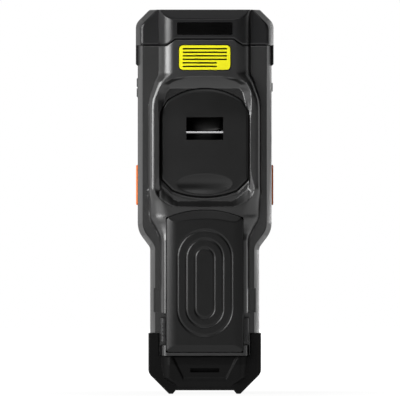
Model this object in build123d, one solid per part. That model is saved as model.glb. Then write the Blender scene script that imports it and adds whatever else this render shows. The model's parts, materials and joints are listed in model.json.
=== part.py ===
from build123d import *
import math
import os

# A rugged handheld data terminal, standing on its two bottom feet.
# X runs across it, Z up its length. Its back faces -Y and its screen faces +Y.
# The origin is on the floor, under the middle of its box. Lengths are in millimetres.

# ---- Widths, from the battery outwards ----
BATTERY_WIDTH = 42.4
BATTERY_GAP = 0.3  # round the battery pack, in its bay
RAIL_WIDTH = 2.3  # the rail each side of the battery
GRIP_LEDGE = 6.35  # flat beside the rail, out to the grip's side
WAIST_STEP = 6.9  # the head is this much wider than the grip, each side
CAP_PROUD = 1.05  # head cap over the head
BUMPER_PROUD = 1.0  # bottom bumper over the grip
BUMPER_FRONT = 0.6  # bottom bumper over the front face

# ---- Heights, from the floor up ----
FOOT_HEIGHT = 1.95
BUMPER_BODY = 19.05  # from the feet to the bumper's top edge at the back
BUMPER_HORN = 12.5  # the bumper's sides stand this much higher
SILL = 1.5  # rear housing under the battery
BATTERY_LENGTH = 78.6
BATTERY_ARCH = 4.4  # rise of the battery's arched top edge
RECESS_SILL = 3.3  # between the battery and the recess
RECESS_HEIGHT = 70.4
HUMP_BROW = 20.5  # flat above the recess, where the asset label is
CAP_HEIGHT = 16.5
SEAM_DROP = 3.2  # the cap's edge is lower at the sides
SEAM_GAP = 0.2
GRIP_HEIGHT = 47.3  # from the bumper's horns to the waist
WAIST_RISE = 9.2

# ---- Depths ----
FRONT_DEPTH = 23.0  # from the parting plane to the front face
PART_Y = -6.0  # the parting plane of the two housings
REAR_WALL = 2.2
HUMP_HEIGHT = 7.3  # hump over the rear wall
BATTERY_PROUD = 1.5  # battery over the hump
SIDE_DRAFT = 2.75  # the sides lean in by this much ...
DRAFT_DEPTH = 5.0  # ... over this depth
WALL = 2.0
CAP_WALL = 2.6
BAY_FLOOR_DEPTH = 1.0  # the battery bay's floor in front of the parting plane
BAY_FLOOR = 1.8
RECESS_DEPTH = 3.5  # from the hump's top to the recess floor
PLATE_THICKNESS = 2.4

# ---- Rounding ----
HUMP_RADIUS = 7.0
WAIST_INNER_RADIUS = 4.5
WAIST_OUTER_RADIUS = 13.0
FRONT_RADIUS = 2.5
BATTERY_RADIUS = 4.5
CAP_CORNER = 7.6  # the cap's 45-degree corner, measured along each side
BUMPER_CORNER = 11.4
BUMPER_BEVEL = 1.5
FOOT_WIDTH = 2.15

# ---- Front: display and keypad ----
KEY_PITCH_X = 12.8
KEY_PITCH_Z = 9.6
KEY_WIDTH = 9.6
KEY_HEIGHT = 6.8
KEY_PROUD = 1.2
KEY_TRAVEL = 0.6
KEY_CLEARANCE = 0.2
KEY_FLANGE = 0.7  # the flange that keeps a key in, all round
NAV_RADIUS = 8.0
DISPLAY_WIDTH = 60.0
GLASS_THICKNESS = 1.2
TOP_BEZEL = 12.6
BOARD_THICKNESS = 1.2
FRAME_THICKNESS = 1.5
MAT_THICKNESS = 1.5
DISPLAY_DEPTH = 3.3

# ---- Side keys, door and latches ----
SIDE_Y = 4.4  # the middle of everything on the sides
TRIGGER_LENGTH = 22.2
TRIGGER_WIDTH = 7.0
TRIGGER_PROUD = 0.95
TRIGGER_TRAVEL = 0.7
VOLUME_LENGTH = 5.0
VOLUME_PITCH = 5.5
SMALL_KEY_WIDTH = 4.4
SMALL_KEY_PROUD = 0.6
SMALL_KEY_TRAVEL = 0.4
DOOR_LENGTH = 27.4
DOOR_WIDTH = 9.0
DOOR_THICKNESS = 1.5
DOOR_PIN_RADIUS = 0.6
PIN_CLEARANCE = 0.06
LATCH_LENGTH = 12.7
LATCH_TRAVEL = 2.0
STRAP_WINDOW = (20.3, 12.5)
STRAP_BAR_RADIUS = 0.7
SLOT_WIDTH = 16.0
SLOT_HEIGHT = 3.1
NOTCH_WIDTH = 3.0  # clip-on pocket in each side of the grip
NOTCH_LENGTH = 13.3
SCOOP = (15.5, 1.9, 6.0)  # half sizes of the finger scoop in the strap plate
SCOOP_RISE = 7.3  # the scoop's middle over the plate's lowest point
PLATE_HALF = 24.2
PLATE_CORNER = (6.4, 6.4)  # what each lower corner of the plate loses, across and up
PLATE_SHOULDER = (3.7, 6.3)  # and each upper corner
BAR_SEAT = 2.5  # the strap bar goes this far into the plate at each end

# ---- Trim, head and battery details ----
CAP_BEVEL = 5.5  # along the back of the cap's top
CAP_SKIRT = 11.1  # how far the cap's sides hang over the head
LABEL_SIZE = (28.2, 13.5)
LABEL_RADIUS = 2.2
LABEL_RISE = 10.4  # the label's middle over the recess
INLAY_SIZE = (30.4, 6.8)
INLAY_DROP = 10.6  # the inlay's middle under the cap's top
SCAN_GLASS = (32.0, 11.0)
SCAN_GLASS_THICKNESS = 0.9
SCAN_ENGINE = (25.0, 10.0, 12.0)
ENGINE_DROP = 7.5  # the engine's top under the cap's top
SCAN_EYES = ((0, 3.4), (-8.2, 2.2), (8.2, 2.2))  # lens, aimer and lamp: place and radius
EYE_HEIGHT = 1.5
RING_HALVES = (15.0, 10.1, 5.2)  # the stadium rings on the battery
RING_STRAIGHT = 28.2
RING_LINE = 0.6
BATTERY_HEEL = 3.5  # chamfer that lets the pack swing out of its bay
HOOK_THICKNESS = 1.4
SCREW_RADIUS = 0.95
SCREW_HEAD_RADIUS = 1.9
SCREW_LENGTH = 8.5
SCREW_HOLE_GAP = 0.15

# ---- Worked out from the sizes above ----
battery_half = BATTERY_WIDTH / 2
bay_half = battery_half + BATTERY_GAP
rail_half = bay_half + RAIL_WIDTH
grip_half = rail_half + GRIP_LEDGE
head_half = grip_half + WAIST_STEP
cap_half = head_half + CAP_PROUD
bumper_half = grip_half + BUMPER_PROUD
horn_x = rail_half + 1.4  # inner side of the bumper's horns

bumper_top = FOOT_HEIGHT + BUMPER_BODY
horn_top = bumper_top + BUMPER_HORN
bay_bottom = bumper_top + SEAM_GAP + SILL
battery_bottom = bay_bottom + BATTERY_GAP
battery_top = battery_bottom + BATTERY_LENGTH
recess_bottom = battery_top + RECESS_SILL
recess_top = recess_bottom + RECESS_HEIGHT
seam_top = recess_top + HUMP_BROW
seam_side = seam_top - SEAM_DROP
total_height = seam_top + CAP_HEIGHT
waist_z = horn_top + GRIP_HEIGHT
head_z = waist_z + WAIST_RISE

front_y = PART_Y + FRONT_DEPTH
inner_front_y = front_y - WALL
draft_y = PART_Y + DRAFT_DEPTH
shelf_y = PART_Y - REAR_WALL
hump_y = shelf_y - HUMP_HEIGHT
battery_y = hump_y - BATTERY_PROUD
bay_floor_y = PART_Y + BAY_FLOOR_DEPTH
recess_y = hump_y + RECESS_DEPTH
seat_y = recess_y + PLATE_THICKNESS
battery_inner_y = bay_floor_y - BATTERY_GAP

flange_front_y = inner_front_y - 0.1
flange_back_y = flange_front_y - 1.0
mat_front_y = flange_back_y - KEY_TRAVEL - 0.1
mat_back_y = mat_front_y - MAT_THICKNESS
frame_front_y = mat_back_y - BOARD_THICKNESS
frame_back_y = frame_front_y - FRAME_THICKNESS

key_row_z = [horn_top + 7.0 + KEY_PITCH_Z * row for row in range(4)]
nav_z = key_row_z[-1] + KEY_HEIGHT / 2 + 4.0 + NAV_RADIUS
scan_z = nav_z + NAV_RADIUS + 2.0 + KEY_HEIGHT / 2
display_low = scan_z + KEY_HEIGHT / 2 + 4.0
display_high = seam_side - TOP_BEZEL
display_z = (display_low + display_high) / 2
display_height = display_high - display_low

trigger_z = recess_bottom + 10.5
door_z = recess_bottom + 36.1
volume_z = recess_top - 6.0
power_z = recess_top - 5.8

board_front_y = SIDE_Y - 2.0
board_back_y = board_front_y - BOARD_THICKNESS
board_low = recess_bottom - 0.5
board_high = recess_top + 9.0
side_flange_x = head_half - WALL - 2.45

door_pin_x = head_half - 1.0
door_pin_y = SIDE_Y + DOOR_WIDTH / 2
door_barrel = 0.95
window_y = SIDE_Y - 5.0  # the middle of the scan window in the cap's top
latch_low = bay_bottom + 6.4
latch_stop_z = latch_low + 10.4 + LATCH_TRAVEL + 2.4  # underside of the block the spring pushes on
strap_z = recess_bottom + 41.65  # middle of the strap window
plate_low = recess_bottom + 3.7  # the strap plate's lowest and highest points
plate_high = recess_top - 6.4
bar_z = strap_z - 2.0
bar_y = recess_y + PLATE_THICKNESS / 2
ring_z = battery_bottom + 38.35
slot_z = FOOT_HEIGHT + 11.2
inlay_z = total_height - INLAY_DROP
label_z = recess_top + LABEL_RISE
engine_top = total_height - ENGINE_DROP
bumper_back_y = hump_y + 2.0
dock_y = PART_Y + 9.0
board_half = head_half - 5.5
board_post_x = head_half - 10.0
hook_back_y = hump_y + 4.3
notch_low = horn_top + 11.6

OVERRUN = 60.0  # solids that are trimmed later run this far past their ends
FAR = 400.0
BACK = battery_y - 10.0  # well behind the part


def symmetric(points, radii):
    """A face drawn in X and Z from the points of its right side, listed upwards."""
    left = [(-x, z) for x, z in reversed(points)]
    corners = list(radii) + list(reversed(radii))
    return make_face(FilletPolyline(*points, *left, radius=corners, close=True))


def at_y(face, y):
    """Stands a drawn face up in the plane at depth y."""
    return Plane((0, y, 0), x_dir=(1, 0, 0), z_dir=(0, -1, 0)) * face


def prism(face, y_back, y_front):
    """Carries a face drawn in X and Z from y_back to y_front."""
    return extrude(at_y(face, y_front), y_front - y_back, dir=(0, -1, 0))


def block(x_low, x_high, y_low, y_high, z_low, z_high):
    """A box by its six sides."""
    middle = ((x_low + x_high) / 2, (y_low + y_high) / 2, (z_low + z_high) / 2)
    return Pos(*middle) * Box(x_high - x_low, y_high - y_low, z_high - z_low)


def rounded(width, height, radius, x, z):
    """A rounded rectangle drawn in X and Z."""
    return Pos(x, z) * RectangleRounded(width, height, radius)


def side_prism(width, height, radius, y, z, x_low, x_high):
    """A rounded rectangle drawn in Y and Z, carried from x_low to x_high."""
    face = Plane((x_low, y, z), x_dir=(0, 1, 0), z_dir=(1, 0, 0)) * RectangleRounded(width, height, radius)
    return extrude(face, x_high - x_low, dir=(1, 0, 0))


def round_y(radius, x, z, y_back, y_front):
    """A cylinder along Y."""
    return Pos(x, (y_back + y_front) / 2, z) * Rot(90, 0, 0) * Cylinder(radius, y_front - y_back)


def both_sides(solid):
    """The solid and its mirror image across the middle."""
    return solid + mirror(solid, about=Plane.YZ)


def rounded_at(solid, y, radius):
    """Rounds every edge that lies in the plane at depth y."""
    edges = solid.edges().filter_by_position(Axis.Y, y - 0.01, y + 0.01)
    return fillet(edges, radius)


def profile_slab(points):
    """A side profile drawn in Y and Z, carried right across the part."""
    face = make_face(Polyline(*points, close=True))
    placed = Plane((-FAR / 2, 0, 0), x_dir=(0, 1, 0), z_dir=(1, 0, 0)) * face
    return extrude(placed, FAR, dir=(1, 0, 0))


# ---- Outlines ----


def body_outline(inset):
    """Grip, waist and head, drawn in by inset, running past both ends."""
    half_turn = math.atan2(WAIST_STEP, WAIST_RISE) / 2
    lift = inset * math.tan(half_turn)
    points = [
        (grip_half - inset, -OVERRUN),
        (grip_half - inset, waist_z + lift),
        (head_half - inset, head_z + lift),
        (head_half - inset, total_height + OVERRUN),
    ]
    return symmetric(points, [0, WAIST_INNER_RADIUS + inset, WAIST_OUTER_RADIUS - inset, 0])


def hump_outline(inset=0.0):
    """The raised spine: rails below, wide round the recess, narrower at the head."""
    neck = rail_half + 1.4 - inset
    wide = rail_half + 7.0 - inset
    points = [
        (rail_half - inset, -OVERRUN),
        (rail_half - inset, recess_bottom - 16.4),
        (wide, recess_bottom - 5.9),
        (wide, recess_top - 17.5),
        (neck, recess_top + 0.9),
        (neck, total_height + OVERRUN),
    ]
    return symmetric(points, [0, 6.0, 10.0, 20.0, 15.0, 0])


def recess_outline(inset=0.0):
    """The recess between the shoulders."""
    wide = rail_half + 2.0 - inset
    points = [
        (wide, recess_bottom + inset),
        (wide, recess_top - 11.5),
        (rail_half - 4.4, recess_top - inset),
    ]
    return symmetric(points, [7.0, 12.0, 6.0])


def plate_outline(grow=0.0):
    """The strap plate: straight sides, slanted corners, and an arc below and above."""
    half = PLATE_HALF + grow
    low, high = plate_low - grow, plate_high + grow
    low_x, low_z = half - PLATE_CORNER[0], low + 3.5
    high_x, high_z = half - PLATE_SHOULDER[0], high - 6.6
    side_low, side_high = low_z + PLATE_CORNER[1], high_z - PLATE_SHOULDER[1]
    bottom = ThreePointArc((-low_x, low_z), (0, low), (low_x, low_z))
    right = Polyline((low_x, low_z), (half, side_low), (half, side_high), (high_x, high_z))
    top = ThreePointArc((high_x, high_z), (0, high), (-high_x, high_z))
    left = Polyline((-high_x, high_z), (-half, side_high), (-half, side_low), (-low_x, low_z))
    return make_face([bottom, *right.edges(), top, *left.edges()])


def battery_outline(grow=0.0):
    """The battery pack: a rectangle with an arched top."""
    half = battery_half + grow
    low = battery_bottom - grow
    high = battery_top - BATTERY_ARCH + grow
    top = ThreePointArc((half, high), (0, battery_top + grow), (-half, high))
    rest = Polyline((-half, high), (-half, low), (half, low), (half, high))
    return make_face([top, *rest.edges()])


def cap_outline(inset=0.0, top_wall=0.0):
    """The head cap with its 45-degree corners: inset draws the sides in, top_wall lowers the top."""
    slack = inset * math.tan(math.radians(22.5))
    points = [
        (cap_half - inset, -OVERRUN),
        (cap_half - inset, total_height - CAP_CORNER - slack),
        (cap_half - CAP_CORNER - slack - inset + top_wall, total_height - top_wall),
    ]
    return symmetric(points, [0, 6.5, 1.5])


def cap_room_outline(inset):
    """The inside of the head cap."""
    return cap_outline(inset, CAP_WALL)


def bumper_outline(inset=0.0):
    """The bottom bumper, with its 45-degree corners down to the floor, drawn in by inset."""
    slack = inset * math.tan(math.radians(22.5))
    points = [
        (bumper_half - BUMPER_CORNER - slack, inset),
        (bumper_half - inset, BUMPER_CORNER + slack),
        (bumper_half - inset, total_height),
    ]
    return symmetric(points, [0.4, 5.5 - inset, 0])


def between_feet():
    """The hollow between the two feet."""
    inner = bumper_half - BUMPER_CORNER - FOOT_WIDTH
    points = [(inner, -1), (inner, 0), (inner - 1.6, FOOT_HEIGHT)]
    return symmetric(points, [0, 0, 0])


def casing(outline, inset, y_front):
    """A body with straight sides that lean in towards the back, drawn in by inset."""
    leaning = loft([at_y(outline(SIDE_DRAFT + inset), PART_Y), at_y(outline(inset), draft_y)], ruled=True)
    return leaning + prism(outline(inset), draft_y, y_front)


def rear_zone():
    """Where the rear housing is, seen from the back."""
    points = [
        (horn_x - SEAM_GAP, bumper_top + SEAM_GAP),
        (horn_x - SEAM_GAP, horn_top + SEAM_GAP),
        (cap_half + 5, horn_top + SEAM_GAP),
        (cap_half + 5, seam_side - SEAM_GAP),
        (rail_half - 3.0, seam_side - SEAM_GAP),
        (rail_half - 7.8, seam_top - SEAM_GAP),
    ]
    return symmetric(points, [0] * 6)


def cap_zone():
    """Where the head cap is at the back, above the seam."""
    points = [
        (rail_half - 7.8, seam_top),
        (rail_half - 3.0, seam_side),
        (cap_half + 5, seam_side),
        (cap_half + 5, total_height),
    ]
    return symmetric(points, [0] * 4)


# ---- Things several pieces share ----


def screw_spots():
    """Each housing screw: x, z and the depth of its seat."""
    plate_screw_z = recess_top - 19.0
    bay_screw_z = battery_bottom + 6.0
    spots = []
    for side in (-1, 1):
        spots.append((side * (rail_half - 3.8), plate_screw_z, seat_y + 1.2))
        spots.append((side * (battery_half - 4.2), bay_screw_z, bay_floor_y + 1.2))
    return spots


def number_keys():
    """Names, places and sizes of the sixteen keys of the number block."""
    names = [
        ["key_star", "key_0", "key_hash", "key_return"],
        ["key_7", "key_8", "key_9", "key_function"],
        ["key_4", "key_5", "key_6", "key_tab"],
        ["key_1", "key_2", "key_3", "key_delete"],
    ]
    keys = {}
    for row, row_names in enumerate(names):
        for column, name in enumerate(row_names):
            keys[name] = ((column - 1.5) * KEY_PITCH_X, key_row_z[row], KEY_WIDTH, KEY_HEIGHT)
    return keys


def all_keys():
    """Every rectangular key, by name."""
    keys = number_keys()
    side_x = NAV_RADIUS + 6.7 + KEY_WIDTH / 2
    keys["key_escape"] = (-side_x, nav_z, KEY_WIDTH, KEY_HEIGHT + 2)
    keys["key_enter"] = (side_x, nav_z, KEY_WIDTH, KEY_HEIGHT + 2)
    keys["key_scan"] = (0, scan_z, 18.0, KEY_HEIGHT)
    return keys


def side_keys():
    """Each side key: side, z, length, width, proud, travel and flange along Z."""
    half_pitch = VOLUME_PITCH / 2
    small = (SMALL_KEY_WIDTH, SMALL_KEY_PROUD, SMALL_KEY_TRAVEL, 0)
    trigger = (TRIGGER_WIDTH, TRIGGER_PROUD, TRIGGER_TRAVEL, 0.2)
    return {
        "trigger_left": (-1, trigger_z, TRIGGER_LENGTH, *trigger),
        "trigger_right": (1, trigger_z, TRIGGER_LENGTH, *trigger),
        "volume_down": (-1, volume_z - half_pitch, VOLUME_LENGTH, *small),
        "volume_up": (-1, volume_z + half_pitch, VOLUME_LENGTH, *small),
        "power_key": (1, power_z, VOLUME_LENGTH, *small),
    }


def side_openings():
    """What is cut through the head's sides for the keys, the door and its connector."""
    cuts = []
    for side, z, length, width, _, _, _ in side_keys().values():
        gap = 2 * KEY_CLEARANCE
        cut = side_prism(width + gap, length + gap, 1.0, SIDE_Y, z, side_flange_x - 2, head_half + 5)
        cuts.append(cut if side > 0 else mirror(cut, about=Plane.YZ))
    recess_x = head_half - 0.05 - DOOR_THICKNESS - 0.2
    low, high = door_z - DOOR_LENGTH / 2 - 0.2, door_z + DOOR_LENGTH / 2 + 0.2
    cuts.append(block(recess_x, head_half + 5, door_pin_y - DOOR_WIDTH - 0.2, door_pin_y + 1.3, low, high))
    cuts.append(Pos(door_pin_x, door_pin_y, door_z) * Cylinder(door_barrel + 0.3, high - low))
    bore_length = DOOR_LENGTH + 4.0
    cuts.append(Pos(door_pin_x, door_pin_y, door_z) * Cylinder(DOOR_PIN_RADIUS + PIN_CLEARANCE, bore_length))
    cuts.append(side_prism(3.9, 9.7, 1.8, board_front_y + 1.7, door_z, head_half - 8, head_half))
    notch_y = door_pin_y - DOOR_WIDTH - 0.2
    nail = block(head_half - 1.6, head_half + 1, notch_y - 1.4, notch_y + 0.1, door_z - 2.2, door_z + 2.2)
    cuts.append(nail)
    return cuts


# ---- Root pieces ----


def front_housing():
    outer = rounded_at(casing(body_outline, 0, front_y), front_y, FRONT_RADIUS)
    shell = outer - casing(body_outline, WALL, inner_front_y)
    ledge_front = frame_front_y + 1.55
    ledge = prism(body_outline(WALL - 0.3), frame_front_y + 0.05, ledge_front)
    ledge -= prism(body_outline(WALL + 2.0), frame_front_y, ledge_front + 1)
    shell += ledge
    shell += door_pad(0)
    shell &= block(-FAR, FAR, -FAR, FAR, horn_top + SEAM_GAP, seam_side - SEAM_GAP)
    for cut in side_openings():
        shell -= cut
    for x, z, width, height in all_keys().values():
        gap = 2 * KEY_CLEARANCE
        shell -= prism(rounded(width + gap, height + gap, 1.8, x, z), inner_front_y - 0.5, front_y + 1)
    shell -= round_y(NAV_RADIUS + KEY_CLEARANCE, 0, nav_z, inner_front_y - 0.5, front_y + 1)
    glass = rounded(DISPLAY_WIDTH + 0.2, display_height + 0.2, 3.1, 0, display_z)
    shell -= prism(glass, front_y - GLASS_THICKNESS - 0.2, front_y + 1)
    shell -= prism(rounded(DISPLAY_WIDTH - 5, display_height - 5, 1.5, 0, display_z), front_y - 5, front_y)
    for offset in (-5, 0, 5):
        shell -= prism(rounded(3.6, 1.2, 0.55, offset, display_high + 4.4), inner_front_y - 0.5, front_y + 1)
    return shell - grip_notches()


def door_pad(grow):
    """The thick patch of wall behind the connector door."""
    low = door_z - DOOR_LENGTH / 2 - 0.4 - grow
    back, front = draft_y + 0.2, door_pin_y + 1.9 + grow
    inner, outer = head_half - WALL - 1.9 - grow, head_half - WALL + 0.3
    return block(inner, outer, back, front, low, door_z + 17 + grow)


def grip_notches():
    """Shallow pockets high on the grip's sides, where a clip-on handle locates."""
    inner = rail_half + 1.5
    high = notch_low + NOTCH_LENGTH
    return both_sides(block(inner, inner + NOTCH_WIDTH, BACK, PART_Y + 1.5, notch_low, high))


def spine():
    """The rear wall and the rounded hump on it, running past both ends."""
    wall = prism(body_outline(SIDE_DRAFT + 0.4), shelf_y, PART_Y)
    hump = rounded_at(prism(hump_outline(), hump_y, PART_Y), hump_y, HUMP_RADIUS)
    return wall + hump


def latch_cut():
    """The room that a latch takes in the rear housing, on the right."""
    low = bay_bottom + 4.1
    high = low + LATCH_LENGTH + LATCH_TRAVEL + 3.1
    channel = block(bay_half - 0.5, rail_half + 0.8, BACK, shelf_y - 0.2, low, high)
    neck_low = latch_low + 2.2 - 0.2
    neck_high = neck_low + 8.0 + LATCH_TRAVEL + 0.4
    slot = block(rail_half - 0.45, rail_half + 0.65, BACK, PART_Y + 0.5, neck_low, neck_high)
    return channel + slot


def rear_housing():
    shell = spine()
    inner = rail_half - 5
    shell -= block(-inner, inner, hump_y + REAR_WALL, PART_Y + 1, recess_top + 3, total_height)
    shell &= prism(rear_zone(), BACK, FRONT_DEPTH)
    shell += bay_tub()
    shell -= prism(battery_outline(BATTERY_GAP), BACK, bay_floor_y)
    shell -= battery_hook_room()
    shell -= prism(recess_outline(), BACK, recess_y)
    shell -= prism(plate_outline(0.4), BACK, seat_y)
    hollow = rounded(2 * rail_half - 1.0, RECESS_HEIGHT - 8, 4, 0, (recess_bottom + recess_top) / 2)
    shell -= prism(hollow, seat_y + 2.0, PART_Y + 1)
    shell += strap_pocket(1.5, PART_Y + 2.1)
    shell -= strap_pocket(0, PART_Y + 0.6, BACK)
    for x, z, seat in screw_spots():
        if z < battery_top:
            shell += round_y(2.9, x, z, bay_floor_y + 0.5, seat + 1.2)
        shell -= round_y(SCREW_HEAD_RADIUS + SCREW_HOLE_GAP, x, z, seat - 5, seat)
        shell -= round_y(SCREW_RADIUS + SCREW_HOLE_GAP, x, z, seat - 1, seat + 5)
    stop_x = rail_half - 0.6
    stop = block(stop_x, stop_x + 1.8, PART_Y - 0.2, PART_Y + 1.4, latch_stop_z, latch_stop_z + 1.8)
    shell += both_sides(stop)
    shell -= both_sides(latch_cut())
    contact_x = 6.0
    shell -= block(-contact_x, contact_x, BACK, FRONT_DEPTH, battery_top - 16, battery_top - 10.5)
    shell -= seal_groove()
    return shell - grip_notches()


def bay_tub():
    """The part of the battery bay that reaches in front of the parting plane."""
    half, top = bay_half + 1.3, battery_top + BATTERY_GAP + 1.3
    low = bumper_top + SEAM_GAP
    return block(-half, half, PART_Y - 0.5, bay_floor_y + BAY_FLOOR, low, top)


def strap_pocket(grow, y_front, y_back=None):
    """The pocket behind the strap bar, with grow all round."""
    width, height = STRAP_WINDOW
    back = seat_y + 1.0 if y_back is None else y_back
    half = width / 2 + 1.2 + grow
    low, high = strap_z - height / 2 - 1.2 - grow, strap_z + height / 2 + 1.2 + grow
    return block(-half, half, back, y_front, low, high)


def battery_hook_room():
    """Where the two hooks on the battery's top edge go, under the housing's lip."""
    deep = hook_back_y + HOOK_THICKNESS + 1.0
    room = block(8.5, 15.5, hook_back_y - 0.4, deep, battery_top - 8, battery_top + 1.4)
    return both_sides(room)


def seal_strip(grow):
    """One strip along each side joint."""
    inner, outer = SIDE_DRAFT + 1.5 + grow, SIDE_DRAFT + 0.7 - grow
    ring = prism(body_outline(outer), PART_Y - 0.65 - grow, PART_Y)
    ring -= prism(body_outline(inner), BACK, PART_Y + 1)
    return ring & block(-FAR, FAR, -FAR, FAR, horn_top + 2 - grow, seam_side - 2 + grow)


def seal_groove():
    return seal_strip(0.02)


def side_seals():
    return seal_strip(0)


def head_cap():
    body = rounded_at(casing(cap_outline, 0, front_y), front_y, FRONT_RADIUS)
    body -= casing(cap_room_outline, CAP_WALL, inner_front_y)
    body &= block(-FAR, FAR, PART_Y, FAR, seam_side, FAR)
    wall = prism(cap_outline(SIDE_DRAFT + 0.4), shelf_y, PART_Y)
    hump = rounded_at(prism(hump_outline(), hump_y, PART_Y), hump_y, HUMP_RADIUS)
    back = (wall + hump) & prism(cap_zone(), BACK, PART_Y)
    pocket_half = rail_half - 5
    back -= block(-pocket_half, pocket_half, hump_y + REAR_WALL, FAR, -FAR, total_height - 9)
    cap = body + back
    cap &= cap_profile()
    low, high = seam_side - CAP_SKIRT, seam_side + 0.5
    skirt = block(head_half + 0.05, cap_half, draft_y, front_y - FRONT_RADIUS, low, high)
    skirt = chamfer(skirt.edges().filter_by(Axis.Y).sort_by(Axis.Z)[:2].sort_by(Axis.X)[-1], 0.8)
    cap += both_sides(skirt)
    cap -= window_recess(0.15)
    cap -= window_view()
    return cap - prism(inlay_face(0.15), BACK, hump_y + 0.35)


def cap_profile():
    """The cap seen from the side: a bevel at the back of its top, and one at the front."""
    top = total_height
    return profile_slab(
        [
            (hump_y, -OVERRUN),
            (hump_y, top - CAP_BEVEL),
            (hump_y + CAP_BEVEL, top),
            (front_y - 4.0, top),
            (front_y, top - 4.0),
            (front_y, -OVERRUN),
        ]
    )


def window_recess(grow):
    """The seat of the scan window in the cap's top."""
    width, depth = SCAN_GLASS
    sunk = 2 * (SCAN_GLASS_THICKNESS + 0.1 + grow)
    plan = Pos(0, window_y, total_height) * Box(width + 2 * grow, depth + 2 * grow, sunk)
    return fillet(plan.edges().filter_by(Axis.Z), 2.5)


def window_view():
    """The hole under the scan window."""
    width, depth = SCAN_GLASS
    return Pos(0, window_y, total_height) * Box(width - 4, depth - 3.5, 4 * CAP_WALL)


def inlay_face(grow=0.0):
    width, height = INLAY_SIZE
    return rounded(width + 2 * grow, height + 2 * grow, 0.7 + grow, 0, inlay_z)


def inlay_panel():
    return prism(inlay_face(), hump_y + 0.05, hump_y + 0.35)


def scan_window():
    glass = window_recess(0) & block(-FAR, FAR, -FAR, FAR, 0, total_height - 0.1)
    return glass


def scan_engine():
    width, depth, height = SCAN_ENGINE
    low_y, high_y = window_y - depth / 2, window_y + depth / 2
    engine = block(-width / 2, width / 2, low_y, high_y, engine_top - height, engine_top)
    engine = chamfer(engine.edges().filter_by(Axis.Z), 1.0)
    for x, radius in SCAN_EYES:
        engine -= Pos(x, window_y, engine_top) * Cylinder(radius + 0.05, 2 * EYE_HEIGHT)
    return engine


def scan_lens():
    lenses = []
    for x, radius in SCAN_EYES:
        barrel = Pos(x, window_y, engine_top) * Cylinder(radius, 2 * EYE_HEIGHT)
        barrel = fillet(barrel.edges().sort_by(Axis.Z)[-1], radius * 0.25)
        lenses.append(barrel)
    return Compound(children=lenses)


def bottom_bumper():
    back, front = shelf_y - 1.0, front_y + BUMPER_FRONT
    body = prism(bumper_outline(), back + BUMPER_BEVEL, front - BUMPER_BEVEL)
    for end, inner in ((back, back + BUMPER_BEVEL), (front, front - BUMPER_BEVEL)):
        body += loft([at_y(bumper_outline(BUMPER_BEVEL), end), at_y(bumper_outline(), inner)], ruled=True)
    bumper = body + prism(chin_outline(), bumper_back_y, shelf_y)
    floor_z = FOOT_HEIGHT + WALL
    inner = prism(bumper_outline(WALL), PART_Y + 2.6, inner_front_y + 0.4)
    bumper -= inner & block(-FAR, FAR, -FAR, FAR, floor_z, FAR)
    above = block(-FAR, FAR, -FAR, FAR, bumper_top - 2.0, FAR)
    bumper -= prism(bumper_outline(WALL), PART_Y - 0.2, inner_front_y + 0.4) & above
    bumper -= prism(between_feet(), BACK, FAR)
    bumper &= profile_slab(
        [
            (bumper_back_y, FAR),
            (bumper_back_y, bumper_top - 5),
            (bumper_back_y + 3.5, 0),
            (front_y - 5.0, 0),
            (front_y + BUMPER_FRONT, 9.0),
            (front_y + BUMPER_FRONT, FAR),
        ]
    )
    keep = [
        (horn_x, bumper_top),
        (horn_x, horn_top),
        (FAR, horn_top),
        (FAR, FAR),
    ]
    bumper -= prism(symmetric(keep, [0] * 4), BACK, PART_Y + 2.6)
    bumper -= block(-FAR, FAR, -FAR, FAR, horn_top, FAR)
    bumper -= sunken_panel()
    bumper -= strap_slot()
    for x in dock_places():
        bumper -= block(x - 1.1, x + 1.1, dock_y - 2.1, dock_y + 2.1, 0, 4 * FOOT_HEIGHT)
    return bumper


def chin_outline():
    """The raised middle of the bumper's back, under the battery."""
    points = [(rail_half - 7.5, FOOT_HEIGHT), (rail_half, 9.0), (rail_half, bumper_top)]
    return symmetric(points, [2.0, 4.0, 0])


def sunken_panel():
    """The shallow trapezoid round the strap slot."""
    points = [(10.2, FOOT_HEIGHT + 6.0), (17.3, bumper_top - 0.8)]
    panel = symmetric(points, [1.5, 0.5])
    depth = prism(panel, BACK, bumper_back_y + 1.0)
    lean = Pos(0, 1.1, 0) * profile_slab(
        [
            (BACK, -1),
            (BACK, FAR),
            (bumper_back_y, FAR),
            (bumper_back_y, bumper_top - 5),
            (bumper_back_y + 3.5, 0),
            (bumper_back_y + 3.5, -1),
        ]
    )
    deep = prism(panel, BACK, bumper_back_y + 6)
    return depth + (deep & lean)


def strap_slot():
    """A slot into the back that turns down and leaves through the bottom."""
    across = prism(rounded(SLOT_WIDTH, SLOT_HEIGHT, 1.5, 0, slot_z), BACK, shelf_y + 2.7)
    half = SLOT_WIDTH / 2 - 0.5
    down = block(-half, half, shelf_y - 0.4, shelf_y + 2.7, -1, slot_z + SLOT_HEIGHT / 2 - 0.4)
    return across + down


def dock_places():
    """Six contacts in a row on the bottom."""
    return [3.2 * (index - 2.5) for index in range(6)]


def dock_contacts():
    low = FOOT_HEIGHT + 0.3
    pads = [
        block(x - 1.0, x + 1.0, dock_y - 2.0, dock_y + 2.0, low, low + WALL + 0.6) for x in dock_places()
    ]
    return Compound(children=pads)


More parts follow.
